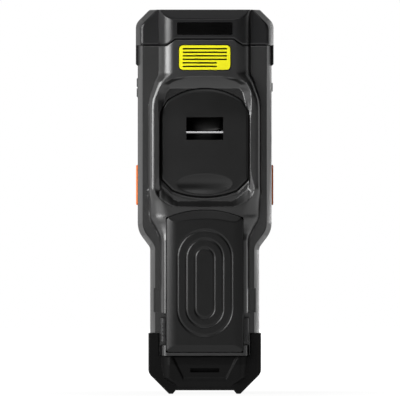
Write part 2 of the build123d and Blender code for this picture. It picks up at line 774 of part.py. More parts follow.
def mid_frame():
    plate = prism(body_outline(WALL + 0.3), frame_back_y, frame_front_y)
    plate &= block(-FAR, FAR, -FAR, FAR, bumper_top + 2, seam_side - 1.5)
    neck = block(-15, 15, frame_back_y, frame_front_y, seam_side - 4, total_height - 6)
    plate += neck
    plate -= door_pad(0.2)
    engine_front = window_y + SCAN_ENGINE[1] / 2 + 0.05
    plate += block(-10, 10, engine_front, frame_back_y + 0.1, total_height - 18, total_height - 9)
    for x in (-board_post_x, board_post_x):
        for z in (board_low + 3, board_high - 3):
            plate += round_y(1.8, x, z, board_front_y, frame_back_y + 0.1)
    for x, z, seat in screw_spots():
        start = seat + 0.9 if z > battery_top else seat + 1.3
        plate += round_y(2.4, x, z, start, frame_back_y + 0.1)
        plate -= round_y(SCREW_RADIUS + 0.02, x, z, seat, seat + SCREW_LENGTH + 1)
    return plate


def main_board():
    width, height = 2 * board_half, board_high - board_low
    board = prism(rounded(width, height, 2, 0, (board_low + board_high) / 2), board_back_y, board_front_y)
    for x, z, _ in screw_spots():
        board -= round_y(2.8, x, z, board_back_y - 1, board_front_y + 1)
    return board


def board_components():
    """Chips and shield cans on both faces of the main board."""
    middle = (board_low + board_high) / 2
    back, front = board_back_y, board_front_y
    shields = [
        block(-26, -4, back - 1.6, back, board_high - 24 + 7, board_high - 24 + 19),
        block(2, 13, back - 1.2, back, board_high - 17, board_high - 6),
        block(-12, 6, back - 1.0, back, board_low + 6, board_low + 22),
        block(-14, 6, front, front + 1.4, middle - 12, middle + 6),
        block(6, 16, front, front + 1.0, middle + 8, middle + 20),
    ]
    shields = [chamfer(shield.edges().filter_by(Axis.Y), 0.6) for shield in shields]
    return Compound(children=shields)


def display_window():
    glass = rounded(DISPLAY_WIDTH, display_height, 3.0, 0, display_z)
    pane = prism(glass, front_y - GLASS_THICKNESS - 0.2, front_y - 0.2)
    return chamfer(pane.edges().filter_by_position(Axis.Y, front_y - 0.21, front_y - 0.19), 0.3)


def display_gasket():
    outer = rounded(DISPLAY_WIDTH - 1, display_height - 1, 2, 0, display_z)
    inner = rounded(DISPLAY_WIDTH - 5, display_height - 5, 1.5, 0, display_z)
    front = inner_front_y
    return prism(outer, frame_front_y + DISPLAY_DEPTH, front) - prism(inner, frame_front_y, front + 1)


def lcd_module():
    face = rounded(DISPLAY_WIDTH - 1, display_height - 1, 1.0, 0, display_z)
    return prism(face, frame_front_y, frame_front_y + DISPLAY_DEPTH)


def keypad_face():
    low, high = key_row_z[0] - 6.0, scan_z + 5.5
    return rounded(2 * (grip_half - 5.0), high - low, 2, 0, (low + high) / 2)


def keypad_board():
    return prism(keypad_face(), frame_front_y, frame_front_y + BOARD_THICKNESS)


def keypad_mat():
    return prism(keypad_face(), mat_back_y, mat_front_y)


def speaker():
    body = rounded(17, 5.4, 2, 0, display_high + 4.4)
    return prism(body, inner_front_y - 2.6, inner_front_y)


def vibration_motor():
    can = Pos(-12, board_front_y + 2.2, board_low + 7) * Rot(0, 90, 0) * Cylinder(2.2, 10)
    foot = block(-16, -8, board_front_y, board_front_y + 1, board_low + 5.2, board_low + 8.8)
    return can + foot


def side_switches():
    """A tactile switch on the board behind each side key."""
    switches = []
    for side, z, length, _, _, travel, _ in side_keys().values():
        stop = side_flange_x - travel - 0.1
        half = min(length / 2 - 0.3, 3.0)
        body = block(board_half - 2.4, stop - 0.5, board_front_y, board_front_y + 3.6, z - half, z + half)
        plunger = Pos(stop - 0.3, board_front_y + 1.9, z) * Rot(0, 90, 0) * Cylinder(0.8, 0.6)
        switch = body + plunger
        switches.append(switch if side > 0 else mirror(switch, about=Plane.YZ))
    return Compound(children=[solid for switch in switches for solid in switch.solids()])


def io_connector():
    high = board_front_y + 3.3
    middle_y = (board_front_y + high) / 2
    shell = side_prism(3.3, 9.0, 1.5, middle_y, door_z, head_half - 10.5, head_half - 2.6)
    shell -= side_prism(2.6, 8.3, 1.2, middle_y, door_z, head_half - 8.5, head_half)
    low, high = door_z - 3.2, door_z + 3.2
    tongue = block(head_half - 9, head_half - 3.6, middle_y - 0.35, middle_y + 0.35, low, high)
    return shell + tongue


def strap_plate():
    plate = prism(plate_outline(), recess_y, seat_y)
    plate = rounded_at(plate, recess_y, 0.6)
    width, height = STRAP_WINDOW
    plate -= block(-width / 2, width / 2, BACK, FAR, strap_z - height / 2, strap_z + height / 2)
    ends = Pos(0, bar_y, bar_z) * Rot(0, 90, 0) * Cylinder(STRAP_BAR_RADIUS + 0.02, width + 2 * BAR_SEAT)
    scoop = Pos(0, recess_y, plate_low + SCOOP_RISE) * scale(Sphere(1), by=SCOOP)
    return plate - ends - scoop


def strap_bar():
    length = STRAP_WINDOW[0] + 2 * BAR_SEAT - 0.4
    return Pos(0, bar_y, bar_z) * Rot(0, 90, 0) * Cylinder(STRAP_BAR_RADIUS, length)


def asset_label():
    return prism(rounded(*LABEL_SIZE, LABEL_RADIUS, 0, label_z), hump_y - 0.15, hump_y)


def battery_contacts():
    """A block behind the bay floor, with four blades that reach the pads."""
    low, high = battery_top - 15.8, battery_top - 10.7
    body = block(-5.8, 5.8, bay_floor_y + 0.4, board_back_y, low, high)
    for x in contact_places():
        body += block(x - 0.5, x + 0.5, battery_inner_y + 0.15, bay_floor_y + 0.5, low + 0.8, high - 0.8)
    return body


def contact_places():
    return [2.6 * (index - 1.5) for index in range(4)]


def housing_screws():
    screws = []
    for x, z, seat in screw_spots():
        head = round_y(SCREW_HEAD_RADIUS, x, z, seat - 1.0, seat)
        head -= block(x - 1.2, x + 1.2, seat - 2, seat - 0.6, z - 0.25, z + 0.25)
        head -= block(x - 0.25, x + 0.25, seat - 2, seat - 0.6, z - 1.2, z + 1.2)
        screws.append(head + round_y(SCREW_RADIUS, x, z, seat - 0.1, seat + SCREW_LENGTH))
    return Compound(children=[solid for screw in screws for solid in screw.solids()])


# ---- Battery pack ----


def battery_case():
    case = prism(battery_outline(), battery_y, battery_inner_y)
    corners = case.edges().filter_by(Axis.Y)
    case = fillet(corners, BATTERY_RADIUS + 0.5)
    case = rounded_at(case, battery_y, BATTERY_RADIUS)
    heel = case.edges().filter_by_position(Axis.Y, battery_inner_y - 0.01, battery_inner_y + 0.01)
    case = chamfer(heel.sort_by(Axis.Z)[0], BATTERY_HEEL)
    case -= prism(cell_face(0.15), battery_y + 2.0, battery_inner_y - 1.2)
    for half in RING_HALVES:
        case -= ring_groove(half)
    for x in contact_places():
        case -= pad(x, 0.02)
    hook = block(9, 15, hook_back_y, hook_back_y + HOOK_THICKNESS, battery_top - 5, battery_top + 1.0)
    return case + both_sides(hook)


def ring_groove(half):
    """A stadium ring cut into the battery's back."""
    outer = Pos(0, ring_z) * Rot(0, 0, 90) * SlotCenterToCenter(RING_STRAIGHT, 2 * half + RING_LINE)
    inner = Pos(0, ring_z) * Rot(0, 0, 90) * SlotCenterToCenter(RING_STRAIGHT, 2 * half - RING_LINE)
    return prism(outer, BACK, battery_y + 0.5) - prism(inner, BACK, battery_y + 1)


def cell_face(grow=0.0):
    height = BATTERY_LENGTH - 18.0
    middle = battery_bottom + 6.0 + height / 2
    return rounded(BATTERY_WIDTH - 8 + 2 * grow, height + 2 * grow, 2, 0, middle)


def battery_cells():
    return prism(cell_face(), battery_y + 2.1, battery_inner_y - 1.3)


def pad(x, grow=0.0):
    """One gold contact pad, sunk in the battery's inner face."""
    low, high = battery_top - 15.8 - grow, battery_top - 10.7 + grow
    return block(x - 0.9 - grow, x + 0.9 + grow, battery_inner_y - 0.5, battery_inner_y, low, high)


def battery_pads():
    pads = [pad(x) & block(-FAR, FAR, -FAR, battery_inner_y - 0.1, -FAR, FAR) for x in contact_places()]
    return Compound(children=pads)


# ---- Latches ----


def latch_right():
    low, high = latch_low, latch_low + LATCH_LENGTH
    back = hump_y + 2.4
    slider = block(bay_half + 0.15, rail_half + 0.5, back, shelf_y - 0.3, low, high)
    outer_edge = slider.edges().filter_by(Axis.Z).sort_by(Axis.X)[-2:].sort_by(Axis.Y)[0]
    slider = fillet(outer_edge, 1.8)
    for step in range(4):
        z = low + 3.2 + 2.1 * step
        slider -= block(bay_half, rail_half + 1, back - 1, back + 0.35, z - 0.35, z + 0.35)
    neck_low = low + 2.2
    neck_x = rail_half - 0.3
    slider += block(neck_x, neck_x + 0.8, shelf_y - 0.4, PART_Y + 0.5, neck_low, neck_low + 8)
    foot = block(neck_x - 0.2, neck_x + 1.3, PART_Y + 0.3, PART_Y + 1.3, neck_low - 0.2, neck_low + 8.2)
    return slider + foot


def latch_spring_right():
    """A flat wave spring between the latch's foot and its stop."""
    low = latch_low + 2.2 + 8.2 + 0.05
    high = latch_stop_z - 0.05
    x = rail_half + 0.1
    waves = 4
    step = (high - low - 0.3) / waves
    strip = None
    for wave in range(waves + 1):
        z = low + wave * step
        bar = block(x - 0.5, x + 0.8, PART_Y + 0.5, PART_Y + 1.1, z, z + 0.3)
        strip = bar if strip is None else strip + bar
    for wave in range(waves):
        z = low + wave * step
        edge = x - 0.5 if wave % 2 else x + 0.5
        strip += block(edge, edge + 0.3, PART_Y + 0.5, PART_Y + 1.1, z, z + step + 0.3)
    return strip


# ---- Keys, triggers and door ----


def front_key(x, z, width, height):
    """A key with its cap through the front wall and its flange behind it."""
    cap = prism(rounded(width, height, 1.6, x, z), flange_front_y - 0.1, front_y + KEY_PROUD)
    cap = rounded_at(cap, front_y + KEY_PROUD, 0.6)
    grow = 2 * KEY_FLANGE
    return cap + prism(rounded(width + grow, height + grow, 2.0, x, z), flange_back_y, flange_front_y)


def nav_pad():
    top = front_y + KEY_PROUD
    pad_disc = round_y(NAV_RADIUS, 0, nav_z, flange_front_y - 0.1, top)
    pad_disc = fillet(pad_disc.edges().filter_by_position(Axis.Y, top - 0.01, top + 0.01), 0.8)
    ring = round_y(NAV_RADIUS / 2, 0, nav_z, top - 0.5, top + 1)
    ring -= round_y(NAV_RADIUS / 2 - 0.6, 0, nav_z, 0, top + 2)
    flange = round_y(NAV_RADIUS + KEY_FLANGE, 0, nav_z, flange_back_y, flange_front_y)
    return pad_disc - ring + flange


def side_key(side, z, length, width, proud, _travel, flange_z):
    """A key through the head's side, with its flange behind the wall."""
    outer_x = head_half + proud
    cap = side_prism(width, length, 0.9, SIDE_Y, z, side_flange_x + 0.9, outer_x)
    face_edges = cap.edges().filter_by_position(Axis.X, outer_x - 0.01, outer_x + 0.01)
    cap = fillet(face_edges, min(proud, 0.8) * 0.9)
    flange = block(
        side_flange_x,
        side_flange_x + 1.0,
        SIDE_Y - width / 2 - 0.9,
        SIDE_Y + width / 2 + 0.9,
        z - length / 2 - flange_z,
        z + length / 2 + flange_z,
    )
    key = cap + flange
    return key if side > 0 else mirror(key, about=Plane.YZ)


def io_door():
    face_x = head_half - 0.05
    low_y = door_pin_y - DOOR_WIDTH
    panel = block(
        face_x - DOOR_THICKNESS, face_x, low_y, door_pin_y, door_z - DOOR_LENGTH / 2, door_z + DOOR_LENGTH / 2
    )
    panel = chamfer(panel.edges().filter_by(Axis.Z).sort_by(Axis.Y)[:2].sort_by(Axis.X)[-1], 0.5)
    barrel = Pos(door_pin_x, door_pin_y, door_z) * Cylinder(door_barrel, DOOR_LENGTH)
    pin = Pos(door_pin_x, door_pin_y, door_z) * Cylinder(DOOR_PIN_RADIUS, DOOR_LENGTH + 3.2)
    return panel + barrel + pin


def nodes():
    """Every piece by its name."""
    pieces = {
        "front_housing": front_housing(),
        "rear_housing": rear_housing(),
        "side_seals": side_seals(),
        "head_cap": head_cap(),
        "inlay_panel": inlay_panel(),
        "scan_window": scan_window(),
        "scan_engine": scan_engine(),
        "scan_lens": scan_lens(),
        "bottom_bumper": bottom_bumper(),
        "dock_contacts": dock_contacts(),
        "mid_frame": mid_frame(),
        "main_board": main_board(),
        "board_components": board_components(),
        "display_window": display_window(),
        "display_gasket": display_gasket(),
        "lcd_module": lcd_module(),
        "keypad_board": keypad_board(),
        "keypad_mat": keypad_mat(),
        "speaker": speaker(),
        "vibration_motor": vibration_motor(),
        "side_switches": side_switches(),
        "io_connector": io_connector(),
        "strap_plate": strap_plate(),
        "strap_bar": strap_bar(),
        "asset_label": asset_label(),
        "battery_contacts": battery_contacts(),
        "housing_screws": housing_screws(),
        "battery_case": battery_case(),
        "battery_cells": battery_cells(),
        "battery_pads": battery_pads(),
        "latch_right": latch_right(),
        "latch_left": mirror(latch_right(), about=Plane.YZ),
        "latch_spring_right": latch_spring_right(),
        "latch_spring_left": mirror(latch_spring_right(), about=Plane.YZ),
        "io_door": io_door(),
        "nav_pad": nav_pad(),
    }
    for name, sizes in side_keys().items():
        pieces[name] = side_key(*sizes)
    for name, place in all_keys().items():
        pieces[name] = front_key(*place)
    return pieces


os.makedirs("parts", exist_ok=True)
for name, piece in nodes().items():
    export_step(piece, f"parts/{name}.step")
    print(name, len(piece.solids()), "solids", round(piece.volume), "mm3")
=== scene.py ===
# %% [markdown]
# # A rugged handheld data terminal, seen from its battery side
#
# The mechanical parts are already made at their real size. This lesson gives them their finish: moulded
# plastics, rubber keys, glass and a printed sticker, under a plain studio light. Every length is in metres
# in the file's own scene, so `MM` turns millimetres into metres.

# %% Load the mechanical parts
import json
import math

import bmesh
import bpy
import numpy as np
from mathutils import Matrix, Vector


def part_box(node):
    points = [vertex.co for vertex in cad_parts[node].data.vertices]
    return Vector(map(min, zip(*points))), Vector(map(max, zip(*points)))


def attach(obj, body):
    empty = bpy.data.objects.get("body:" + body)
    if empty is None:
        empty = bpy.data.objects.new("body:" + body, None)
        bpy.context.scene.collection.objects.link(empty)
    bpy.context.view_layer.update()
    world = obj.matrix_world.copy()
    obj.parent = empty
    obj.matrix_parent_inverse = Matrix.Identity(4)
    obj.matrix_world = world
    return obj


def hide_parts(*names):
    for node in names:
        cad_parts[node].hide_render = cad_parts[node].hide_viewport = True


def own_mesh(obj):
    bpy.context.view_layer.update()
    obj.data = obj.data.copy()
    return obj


MM = 0.001
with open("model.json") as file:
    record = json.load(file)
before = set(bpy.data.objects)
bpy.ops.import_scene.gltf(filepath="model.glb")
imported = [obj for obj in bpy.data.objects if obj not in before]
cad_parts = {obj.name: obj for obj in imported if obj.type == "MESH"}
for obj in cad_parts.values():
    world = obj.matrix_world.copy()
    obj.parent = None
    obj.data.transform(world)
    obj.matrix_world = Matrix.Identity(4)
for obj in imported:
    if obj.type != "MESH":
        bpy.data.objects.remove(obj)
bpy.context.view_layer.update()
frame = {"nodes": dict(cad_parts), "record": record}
nodes = frame["nodes"]

# %% [markdown]
# ## The camera
#
# The back is looked at squarely with a long lens, as in a catalogue. A long lens flattens the depth, so the
# outline keeps its true proportions. The lens follows from the distance and from how many millimetres the
# picture is high.

# %% Camera
SENSOR_WIDTH = 36.0
PICTURE_HEIGHT = 221.4 * MM
CAMERA_DISTANCE = 6.0
CAMERA_X, CAMERA_Z = -2.6 * MM, 107.1 * MM
OUTLINE_Y = 3.0 * MM  # the depth at which the body is widest


def placed(name, data):
    """An object that carries the data, linked to the scene."""
    made = bpy.data.objects.new(name, data)
    bpy.context.scene.collection.objects.link(made)
    return made


camera = placed("camera", bpy.data.cameras.new("camera"))
camera.data.sensor_width = SENSOR_WIDTH
camera.data.lens = SENSOR_WIDTH * CAMERA_DISTANCE / PICTURE_HEIGHT
camera.data.clip_start, camera.data.clip_end = 0.05, 50.0
camera.location = (CAMERA_X, OUTLINE_Y - CAMERA_DISTANCE, CAMERA_Z)
camera.rotation_euler = (math.radians(90), 0, 0)
bpy.context.scene.camera = camera
bpy.context.scene.view_settings.view_transform = "Standard"
print("lens", round(camera.data.lens, 1), "mm")

# %% [markdown]
# ## Light and backdrop
#
# Black plastic shows its form only through what it reflects. A near soft box on the left draws the long
# bright lines on the shoulders, and a weaker one below it does the same for the grip. One behind on the right
# picks out the other edge, and a dim one above in front keeps the flat faces from going black. The floor and
# the backdrop are seen as white, but light the matt colours only dimly.


# %% Soft boxes
def soft_box(name, azimuth, elevation, distance, width, height, power, aim):
    """An area lamp that looks at aim. Azimuth 0 is straight behind the camera, negative is to its left."""
    lamp = bpy.data.lights.new(name, "AREA")
    lamp.shape = "RECTANGLE"
    lamp.size, lamp.size_y = width, height
    lamp.energy = power
    box = placed(name, lamp)
    turn, lift = math.radians(azimuth), math.radians(elevation)
    offset = np.array([math.sin(turn) * math.cos(lift), -math.cos(turn) * math.cos(lift), math.sin(lift)])
    place = np.array(aim) + distance * offset
    box.location = place
    direction = Vector(np.array(aim) - place)
    box.rotation_euler = direction.to_track_quat("-Z", "Y").to_euler()
    return box


MIDDLE = (0.0, 0.0, 0.12)
key = soft_box("key_light", -50, 8, 0.60, 0.42, 0.32, 1.9, (0, 0, 0.21))
key.data.spread = math.radians(110)
soft_box("low_left_light", -58, 3, 1.0, 0.35, 0.3, 1.6, (0, 0, 0.07))
soft_box("front_fill", 10, 48, 1.1, 0.5, 0.4, 2.0, MIDDLE)
soft_box("rim_light", 152, 3, 0.9, 0.3, 0.6, 3.0, MIDDLE)

# %% [markdown]
# The surroundings light the object as a dim grey, and are seen as white. `Light Path` tells the two apart: a
# ray from the camera, from a glossy surface or through glass gets the white.


# %% Shader helpers
def node_of(tree, kind, **values):
    """Adds a shader node and sets the named attributes on it."""
    made = tree.nodes.new(kind)
    for key, value in values.items():
        setattr(made, key, value)
    return made


def bare_tree(owner):
    """The emptied node tree of a world or a material."""
    owner.use_nodes = True
    owner.node_tree.nodes.clear()
    return owner.node_tree


def seen_directly(tree):
    """A value that is 1 for rays from the camera, from a glossy surface or through glass."""
    path = node_of(tree, "ShaderNodeLightPath")
    value = path.outputs["Is Camera Ray"]
    for kind in ("Is Glossy Ray", "Is Transmission Ray"):
        either = node_of(tree, "ShaderNodeMath", operation="MAXIMUM")
        tree.links.new(value, either.inputs[0])
        tree.links.new(path.outputs[kind], either.inputs[1])
        value = either.outputs[0]
    return value


# %% World
ROOM_LIGHT, ROOM_SEEN = 0.03, 1.0  # strength for diffuse rays, and for rays that see the room itself

world = bpy.data.worlds.new("studio")
bpy.context.scene.world = world
tree = bare_tree(world)
dim = node_of(tree, "ShaderNodeBackground")
dim.inputs["Color"].default_value = (0.9, 0.95, 1.0, 1.0)
dim.inputs["Strength"].default_value = ROOM_LIGHT
white = node_of(tree, "ShaderNodeBackground")
white.inputs["Color"].default_value = (1.0, 1.0, 1.0, 1.0)
white.inputs["Strength"].default_value = ROOM_SEEN
either = node_of(tree, "ShaderNodeMixShader")
world_out = node_of(tree, "ShaderNodeOutputWorld")
tree.links.new(seen_directly(tree), either.inputs[0])
tree.links.new(dim.outputs[0], either.inputs[1])
tree.links.new(white.outputs[0], either.inputs[2])
tree.links.new(either.outputs[0], world_out.inputs[0])
print("world strengths", ROOM_LIGHT, ROOM_SEEN)

# %% [markdown]
# The floor is matt in part near the object, so that it keeps the shadow, and glows more and more further out,
# until it can't be told from the white behind it. A mix by distance does that, and leaves no horizon. Diffuse
# rays meet a dark floor instead, so that it throws hardly any light up at the object.

# %% Floor
FLOOR_SIZE = 6.0
FADE_START, FADE_END = 0.03, 0.34  # distances from the middle, in metres
NEAR_SHARE, FLOOR_GLOW = 0.74, 1.25  # the glow's share at the middle, and its strength

corners = FLOOR_SIZE * np.array([[-1, -1, 0], [1, -1, 0], [1, 1, 0], [-1, 1, 0]]) / 2
floor_mesh = bpy.data.meshes.new("floor")
floor_mesh.from_pydata(corners.tolist(), [], [(0, 1, 2, 3)])
floor = placed("floor", floor_mesh)

floor_paint = bpy.data.materials.new("floor_paint")
tree = bare_tree(floor_paint)
matt = node_of(tree, "ShaderNodeBsdfDiffuse")
matt.inputs["Color"].default_value = (0.3, 0.3, 0.3, 1.0)
quiet = node_of(tree, "ShaderNodeBsdfDiffuse")
quiet.inputs["Color"].default_value = (0.05, 0.05, 0.05, 1.0)
glow = node_of(tree, "ShaderNodeEmission")
glow.inputs["Strength"].default_value = FLOOR_GLOW
place = node_of(tree, "ShaderNodeTexCoord")
spread = node_of(tree, "ShaderNodeVectorMath", operation="LENGTH")
near = node_of(tree, "ShaderNodeMapRange", interpolation_type="SMOOTHSTEP")
near.inputs["From Min"].default_value, near.inputs["From Max"].default_value = FADE_START, FADE_END
near.inputs["To Min"].default_value, near.inputs["To Max"].default_value = NEAR_SHARE, 1.0
lit = node_of(tree, "ShaderNodeMixShader")
either = node_of(tree, "ShaderNodeMixShader")
paint_out = node_of(tree, "ShaderNodeOutputMaterial")
tree.links.new(place.outputs["Object"], spread.inputs[0])
tree.links.new(spread.outputs["Value"], near.inputs["Value"])
tree.links.new(near.outputs[0], lit.inputs[0])
tree.links.new(matt.outputs[0], lit.inputs[1])
tree.links.new(glow.outputs[0], lit.inputs[2])
tree.links.new(seen_directly(tree), either.inputs[0])
tree.links.new(quiet.outputs[0], either.inputs[1])
tree.links.new(lit.outputs[0], either.inputs[2])
tree.links.new(either.outputs[0], paint_out.inputs[0])
floor_mesh.materials.append(floor_paint)
print("floor", FLOOR_SIZE, "m wide, white from", FADE_END, "m")

# %% [markdown]
# Black plastic on white would turn grey all over, because every face would mirror the white room. The studio
# remedy is a black tent on the viewer's side, behind the lamps. Here it is half a dome that only glossy rays
# meet, so it darkens the reflections and nothing else. Faces seen at a flat angle still mirror the white
# behind them.

# %% Black tent
TENT_RADIUS, TENT_TURN = 2.2, 96  # metres, and degrees to each side of the camera


def grid_cells(rows, columns):
    """The four corner numbers of every cell of a grid whose points are counted row by row."""
    index = np.arange(rows * columns).reshape(rows, columns)
    return np.stack([index[:-1, :-1], index[:-1, 1:], index[1:, 1:], index[1:, :-1]], axis=-1)


def dome(radius, turns, lifts):
    """Points of a sphere round the origin: radius times the direction of azimuth turn and elevation lift."""
    turn, lift = np.meshgrid(np.radians(turns), np.radians(lifts))
    directions = [np.sin(turn) * np.cos(lift), -np.cos(turn) * np.cos(lift), np.sin(lift)]
    return radius * np.stack(directions, axis=-1)


tent_points = dome(TENT_RADIUS, np.linspace(-TENT_TURN, TENT_TURN, 33), np.linspace(0, 90, 16))
tent_faces = grid_cells(*tent_points.shape[:2]).reshape(-1, 4)
tent_mesh = bpy.data.meshes.new("black_tent")
tent_mesh.from_pydata(tent_points.reshape(-1, 3).tolist(), [], tent_faces.tolist())
tent = placed("black_tent", tent_mesh)
tent.visible_camera = tent.visible_diffuse = tent.visible_transmission = tent.visible_shadow = False
tent_cloth = bpy.data.materials.new("tent_cloth")
tree = bare_tree(tent_cloth)
cloth = node_of(tree, "ShaderNodeBsdfDiffuse")
cloth.inputs["Color"].default_value = (0.01, 0.01, 0.01, 1.0)
cloth_out = node_of(tree, "ShaderNodeOutputMaterial")
tree.links.new(cloth.outputs[0], cloth_out.inputs[0])
tent_mesh.materials.append(tent_cloth)
print("tent cells", len(tent_faces))

# %% [markdown]
# ## Finishes
#
# A moulded part is never one flat colour. Spark-eroded tools leave a fine grain, so the roughness wanders a
# little and a very small bump breaks the highlight. One function makes every plastic, rubber and metal; only
# its numbers differ. The grain is read in object coordinates, so it stays with the part when it moves. The
# black plastics are written very dark, because their light comes from gloss far more than from colour.

# %% One function for moulded and cast surfaces
CLOUD_SIZE = 9 * MM  # the size of the patches in which tone and roughness wander
GRAIN_SIZE, GRAIN_STRENGTH = 0.15 * MM, 0.35
TONE_SPREAD = 0.12


def finish(name, colour, roughness, depth=0.01, wander=0.04, metallic=0.0, coat=0.0, shine=0.5):
    """A surface with a grain of the given depth in millimetres and a roughness that wanders."""
    made = bpy.data.materials.new(name)
    made.use_nodes = True
    tree = made.node_tree
    shader = tree.nodes["Principled BSDF"]
    shader.inputs["Metallic"].default_value = metallic
    shader.inputs["Coat Weight"].default_value = coat
    shader.inputs["Specular IOR Level"].default_value = shine
    place = node_of(tree, "ShaderNodeTexCoord")
    cloud = node_of(tree, "ShaderNodeTexNoise")
    cloud.inputs["Scale"].default_value = 1 / CLOUD_SIZE
    cloud.inputs["Detail"].default_value = 4.0
    tree.links.new(place.outputs["Object"], cloud.inputs["Vector"])
    rough = node_of(tree, "ShaderNodeMapRange")
    rough.inputs["To Min"].default_value = roughness - wander
    rough.inputs["To Max"].default_value = roughness + wander
    tree.links.new(cloud.outputs["Fac"], rough.inputs["Value"])
    tree.links.new(rough.outputs[0], shader.inputs["Roughness"])
    tone = node_of(tree, "ShaderNodeMix", data_type="RGBA")
    tone.inputs["A"].default_value = (*[(1 - TONE_SPREAD) * c for c in colour], 1.0)
    tone.inputs["B"].default_value = (*[min(1.0, (1 + TONE_SPREAD) * c) for c in colour], 1.0)
    tree.links.new(cloud.outputs["Fac"], tone.inputs["Factor"])
    tree.links.new(tone.outputs["Result"], shader.inputs["Base Color"])
    fine = node_of(tree, "ShaderNodeTexNoise")
    fine.inputs["Scale"].default_value = 1 / GRAIN_SIZE
    fine.inputs["Detail"].default_value = 2.0
    tree.links.new(place.outputs["Object"], fine.inputs["Vector"])
    bump = node_of(tree, "ShaderNodeBump")
    bump.inputs["Strength"].default_value = GRAIN_STRENGTH
    bump.inputs["Distance"].default_value = depth * MM
    tree.links.new(fine.outputs["Fac"], bump.inputs["Height"])
    tree.links.new(bump.outputs["Normal"], shader.inputs["Normal"])
    return made


# %% Finishes of the object
finishes = {
    "housing": finish("moulded_housing", (0.0045, 0.0045, 0.0045), 0.35, shine=0.84),
    "head_cap": finish("moulded_cap", (0.0035, 0.0035, 0.004), 0.37, shine=0.42),
    "inlay": finish("bare_inlay", (0.0015, 0.0015, 0.0015), 0.16, depth=0.001, wander=0.02),
    "bumper": finish("moulded_bumper", (0.0035, 0.0035, 0.0035), 0.40, shine=0.12),
    "strap_plate": finish("moulded_plate", (0.0065, 0.0065, 0.0065), 0.36, shine=0.36),
    "battery_shell": finish("moulded_battery", (0.005, 0.005, 0.005), 0.34, shine=0.32),
    "soft_seal": finish("silicone_seal", (0.01, 0.01, 0.01), 0.6),
    "scan_glass": finish("scan_glass", (0.02, 0.002, 0.002), 0.06, depth=0.0005, wander=0.01, coat=0.6),
    "lens_glass": finish("lens_glass", (0.008, 0.008, 0.014), 0.05, depth=0.0005, wander=0.01, coat=0.8),
    "module_black": finish("module_black", (0.02, 0.02, 0.022), 0.5),
    "display_glass": finish(
        "display_glass", (0.005, 0.005, 0.006), 0.06, depth=0.0005, wander=0.01, coat=0.5
    ),
    "display": finish("display_face", (0.01, 0.011, 0.013), 0.2, depth=0.001),
    "frame_metal": finish("cast_frame", (0.55, 0.55, 0.56), 0.4, metallic=1.0),
    "circuit_board": finish("solder_mask", (0.02, 0.12, 0.05), 0.4),
    "mat_rubber": finish("silicone_mat", (0.15, 0.15, 0.15), 0.6),
    "steel": finish("polished_steel", (0.62, 0.62, 0.63), 0.22, metallic=1.0, depth=0.003),
    "gold": finish("gold_plate", (0.85, 0.62, 0.28), 0.25, metallic=1.0, depth=0.002),
    "cell_wrap": finish("cell_wrap", (0.1, 0.2, 0.5), 0.4),
    "label": finish("label_yellow", (0.93, 0.86, 0.0), 0.5, depth=0.002),
    "latch": finish("moulded_latch", (0.010, 0.010, 0.0105), 0.4),
    "trigger_orange": finish("orange_plastic", (0.9, 0.17, 0.01), 0.42),
    "side_key": finish("side_key_rubber", (0.012, 0.012, 0.013), 0.5),
    "door_rubber": finish("door_rubber", (0.018, 0.018, 0.019), 0.55),
    "number_key": finish("number_key_rubber", (0.08, 0.08, 0.085), 0.5),
    "control_key": finish("control_key_rubber", (0.03, 0.03, 0.032), 0.5),
    "scan_key": finish("scan_key_rubber", (0.85, 0.16, 0.012), 0.5),
}
print("finishes", len(finishes))

# %% [markdown]
# ## Smooth skins for the machined shapes
#
# The mechanical meshes are loose triangles. A copy with its equal points merged can be shaded smoothly over
# the rounded shoulders, and a small bevel gives each hard edge the thin line of light that a real moulded
# edge has. The mechanical part stays as it is, hidden, and the skin rides on the same body.

# %% Merged, smooth copies
MERGE_STEP = 0.0005 * MM  # points that share a cube of this size are one


def put(name, points, faces, body, slot, smooth=True):
    """Makes a piece from arrays of points and faces, and lets it ride on a body."""
    mesh = bpy.data.meshes.new(name)
    mesh.from_pydata(np.asarray(points).tolist(), [], [tuple(f) for f in faces])
    mesh.validate()
    mesh.materials.append(finishes[slot])
    mesh.shade_smooth() if smooth else mesh.shade_flat()
    piece = placed(name, mesh)
    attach(piece, body)
    return piece


def merged(node):
    """The points and triangles of a node, with equal points made one."""
    mesh = nodes[node].data
    points = np.zeros(len(mesh.vertices) * 3)
    mesh.vertices.foreach_get("co", points)
    corners = np.zeros(len(mesh.loops), int)
    mesh.loops.foreach_get("vertex_index", corners)
    keys = np.round(points.reshape(-1, 3) / MERGE_STEP).astype(np.int64)
    _, first, inverse = np.unique(keys, axis=0, return_index=True, return_inverse=True)
    triangles = inverse.reshape(-1)[corners].reshape(-1, 3)
    whole = (triangles[:, 0] != triangles[:, 1]) & (triangles[:, 1] != triangles[:, 2])
    whole &= triangles[:, 0] != triangles[:, 2]
    return points.reshape(-1, 3)[first], triangles[whole]


def skin(node, slot, body, bevel=0.15, angle=32):
    """A smooth copy of a node with its hard edges bevelled by so many millimetres."""
    points, triangles = merged(node)
    piece = put(node + "_skin", points, triangles, body, slot)
    piece.data.set_sharp_from_angle(angle=math.radians(angle))
    if bevel:
        soft = piece.modifiers.new("edge", "BEVEL")
        soft.width = bevel * MM
        soft.segments = 2
        soft.limit_method = "ANGLE"
        soft.angle_limit = math.radians(angle)
        soft.harden_normals = True
        soft.miter_outer = "MITER_ARC"
    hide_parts(node)
    return piece


# %% Bodies and slots
bodies = frame["record"]["behaviour"]["bodies"]
body_of = {node: body for body, members in bodies.items() for node in members}
slot_of = {entry["node"]: entry["material_slot"] for entry in frame["record"]["subparts"]}

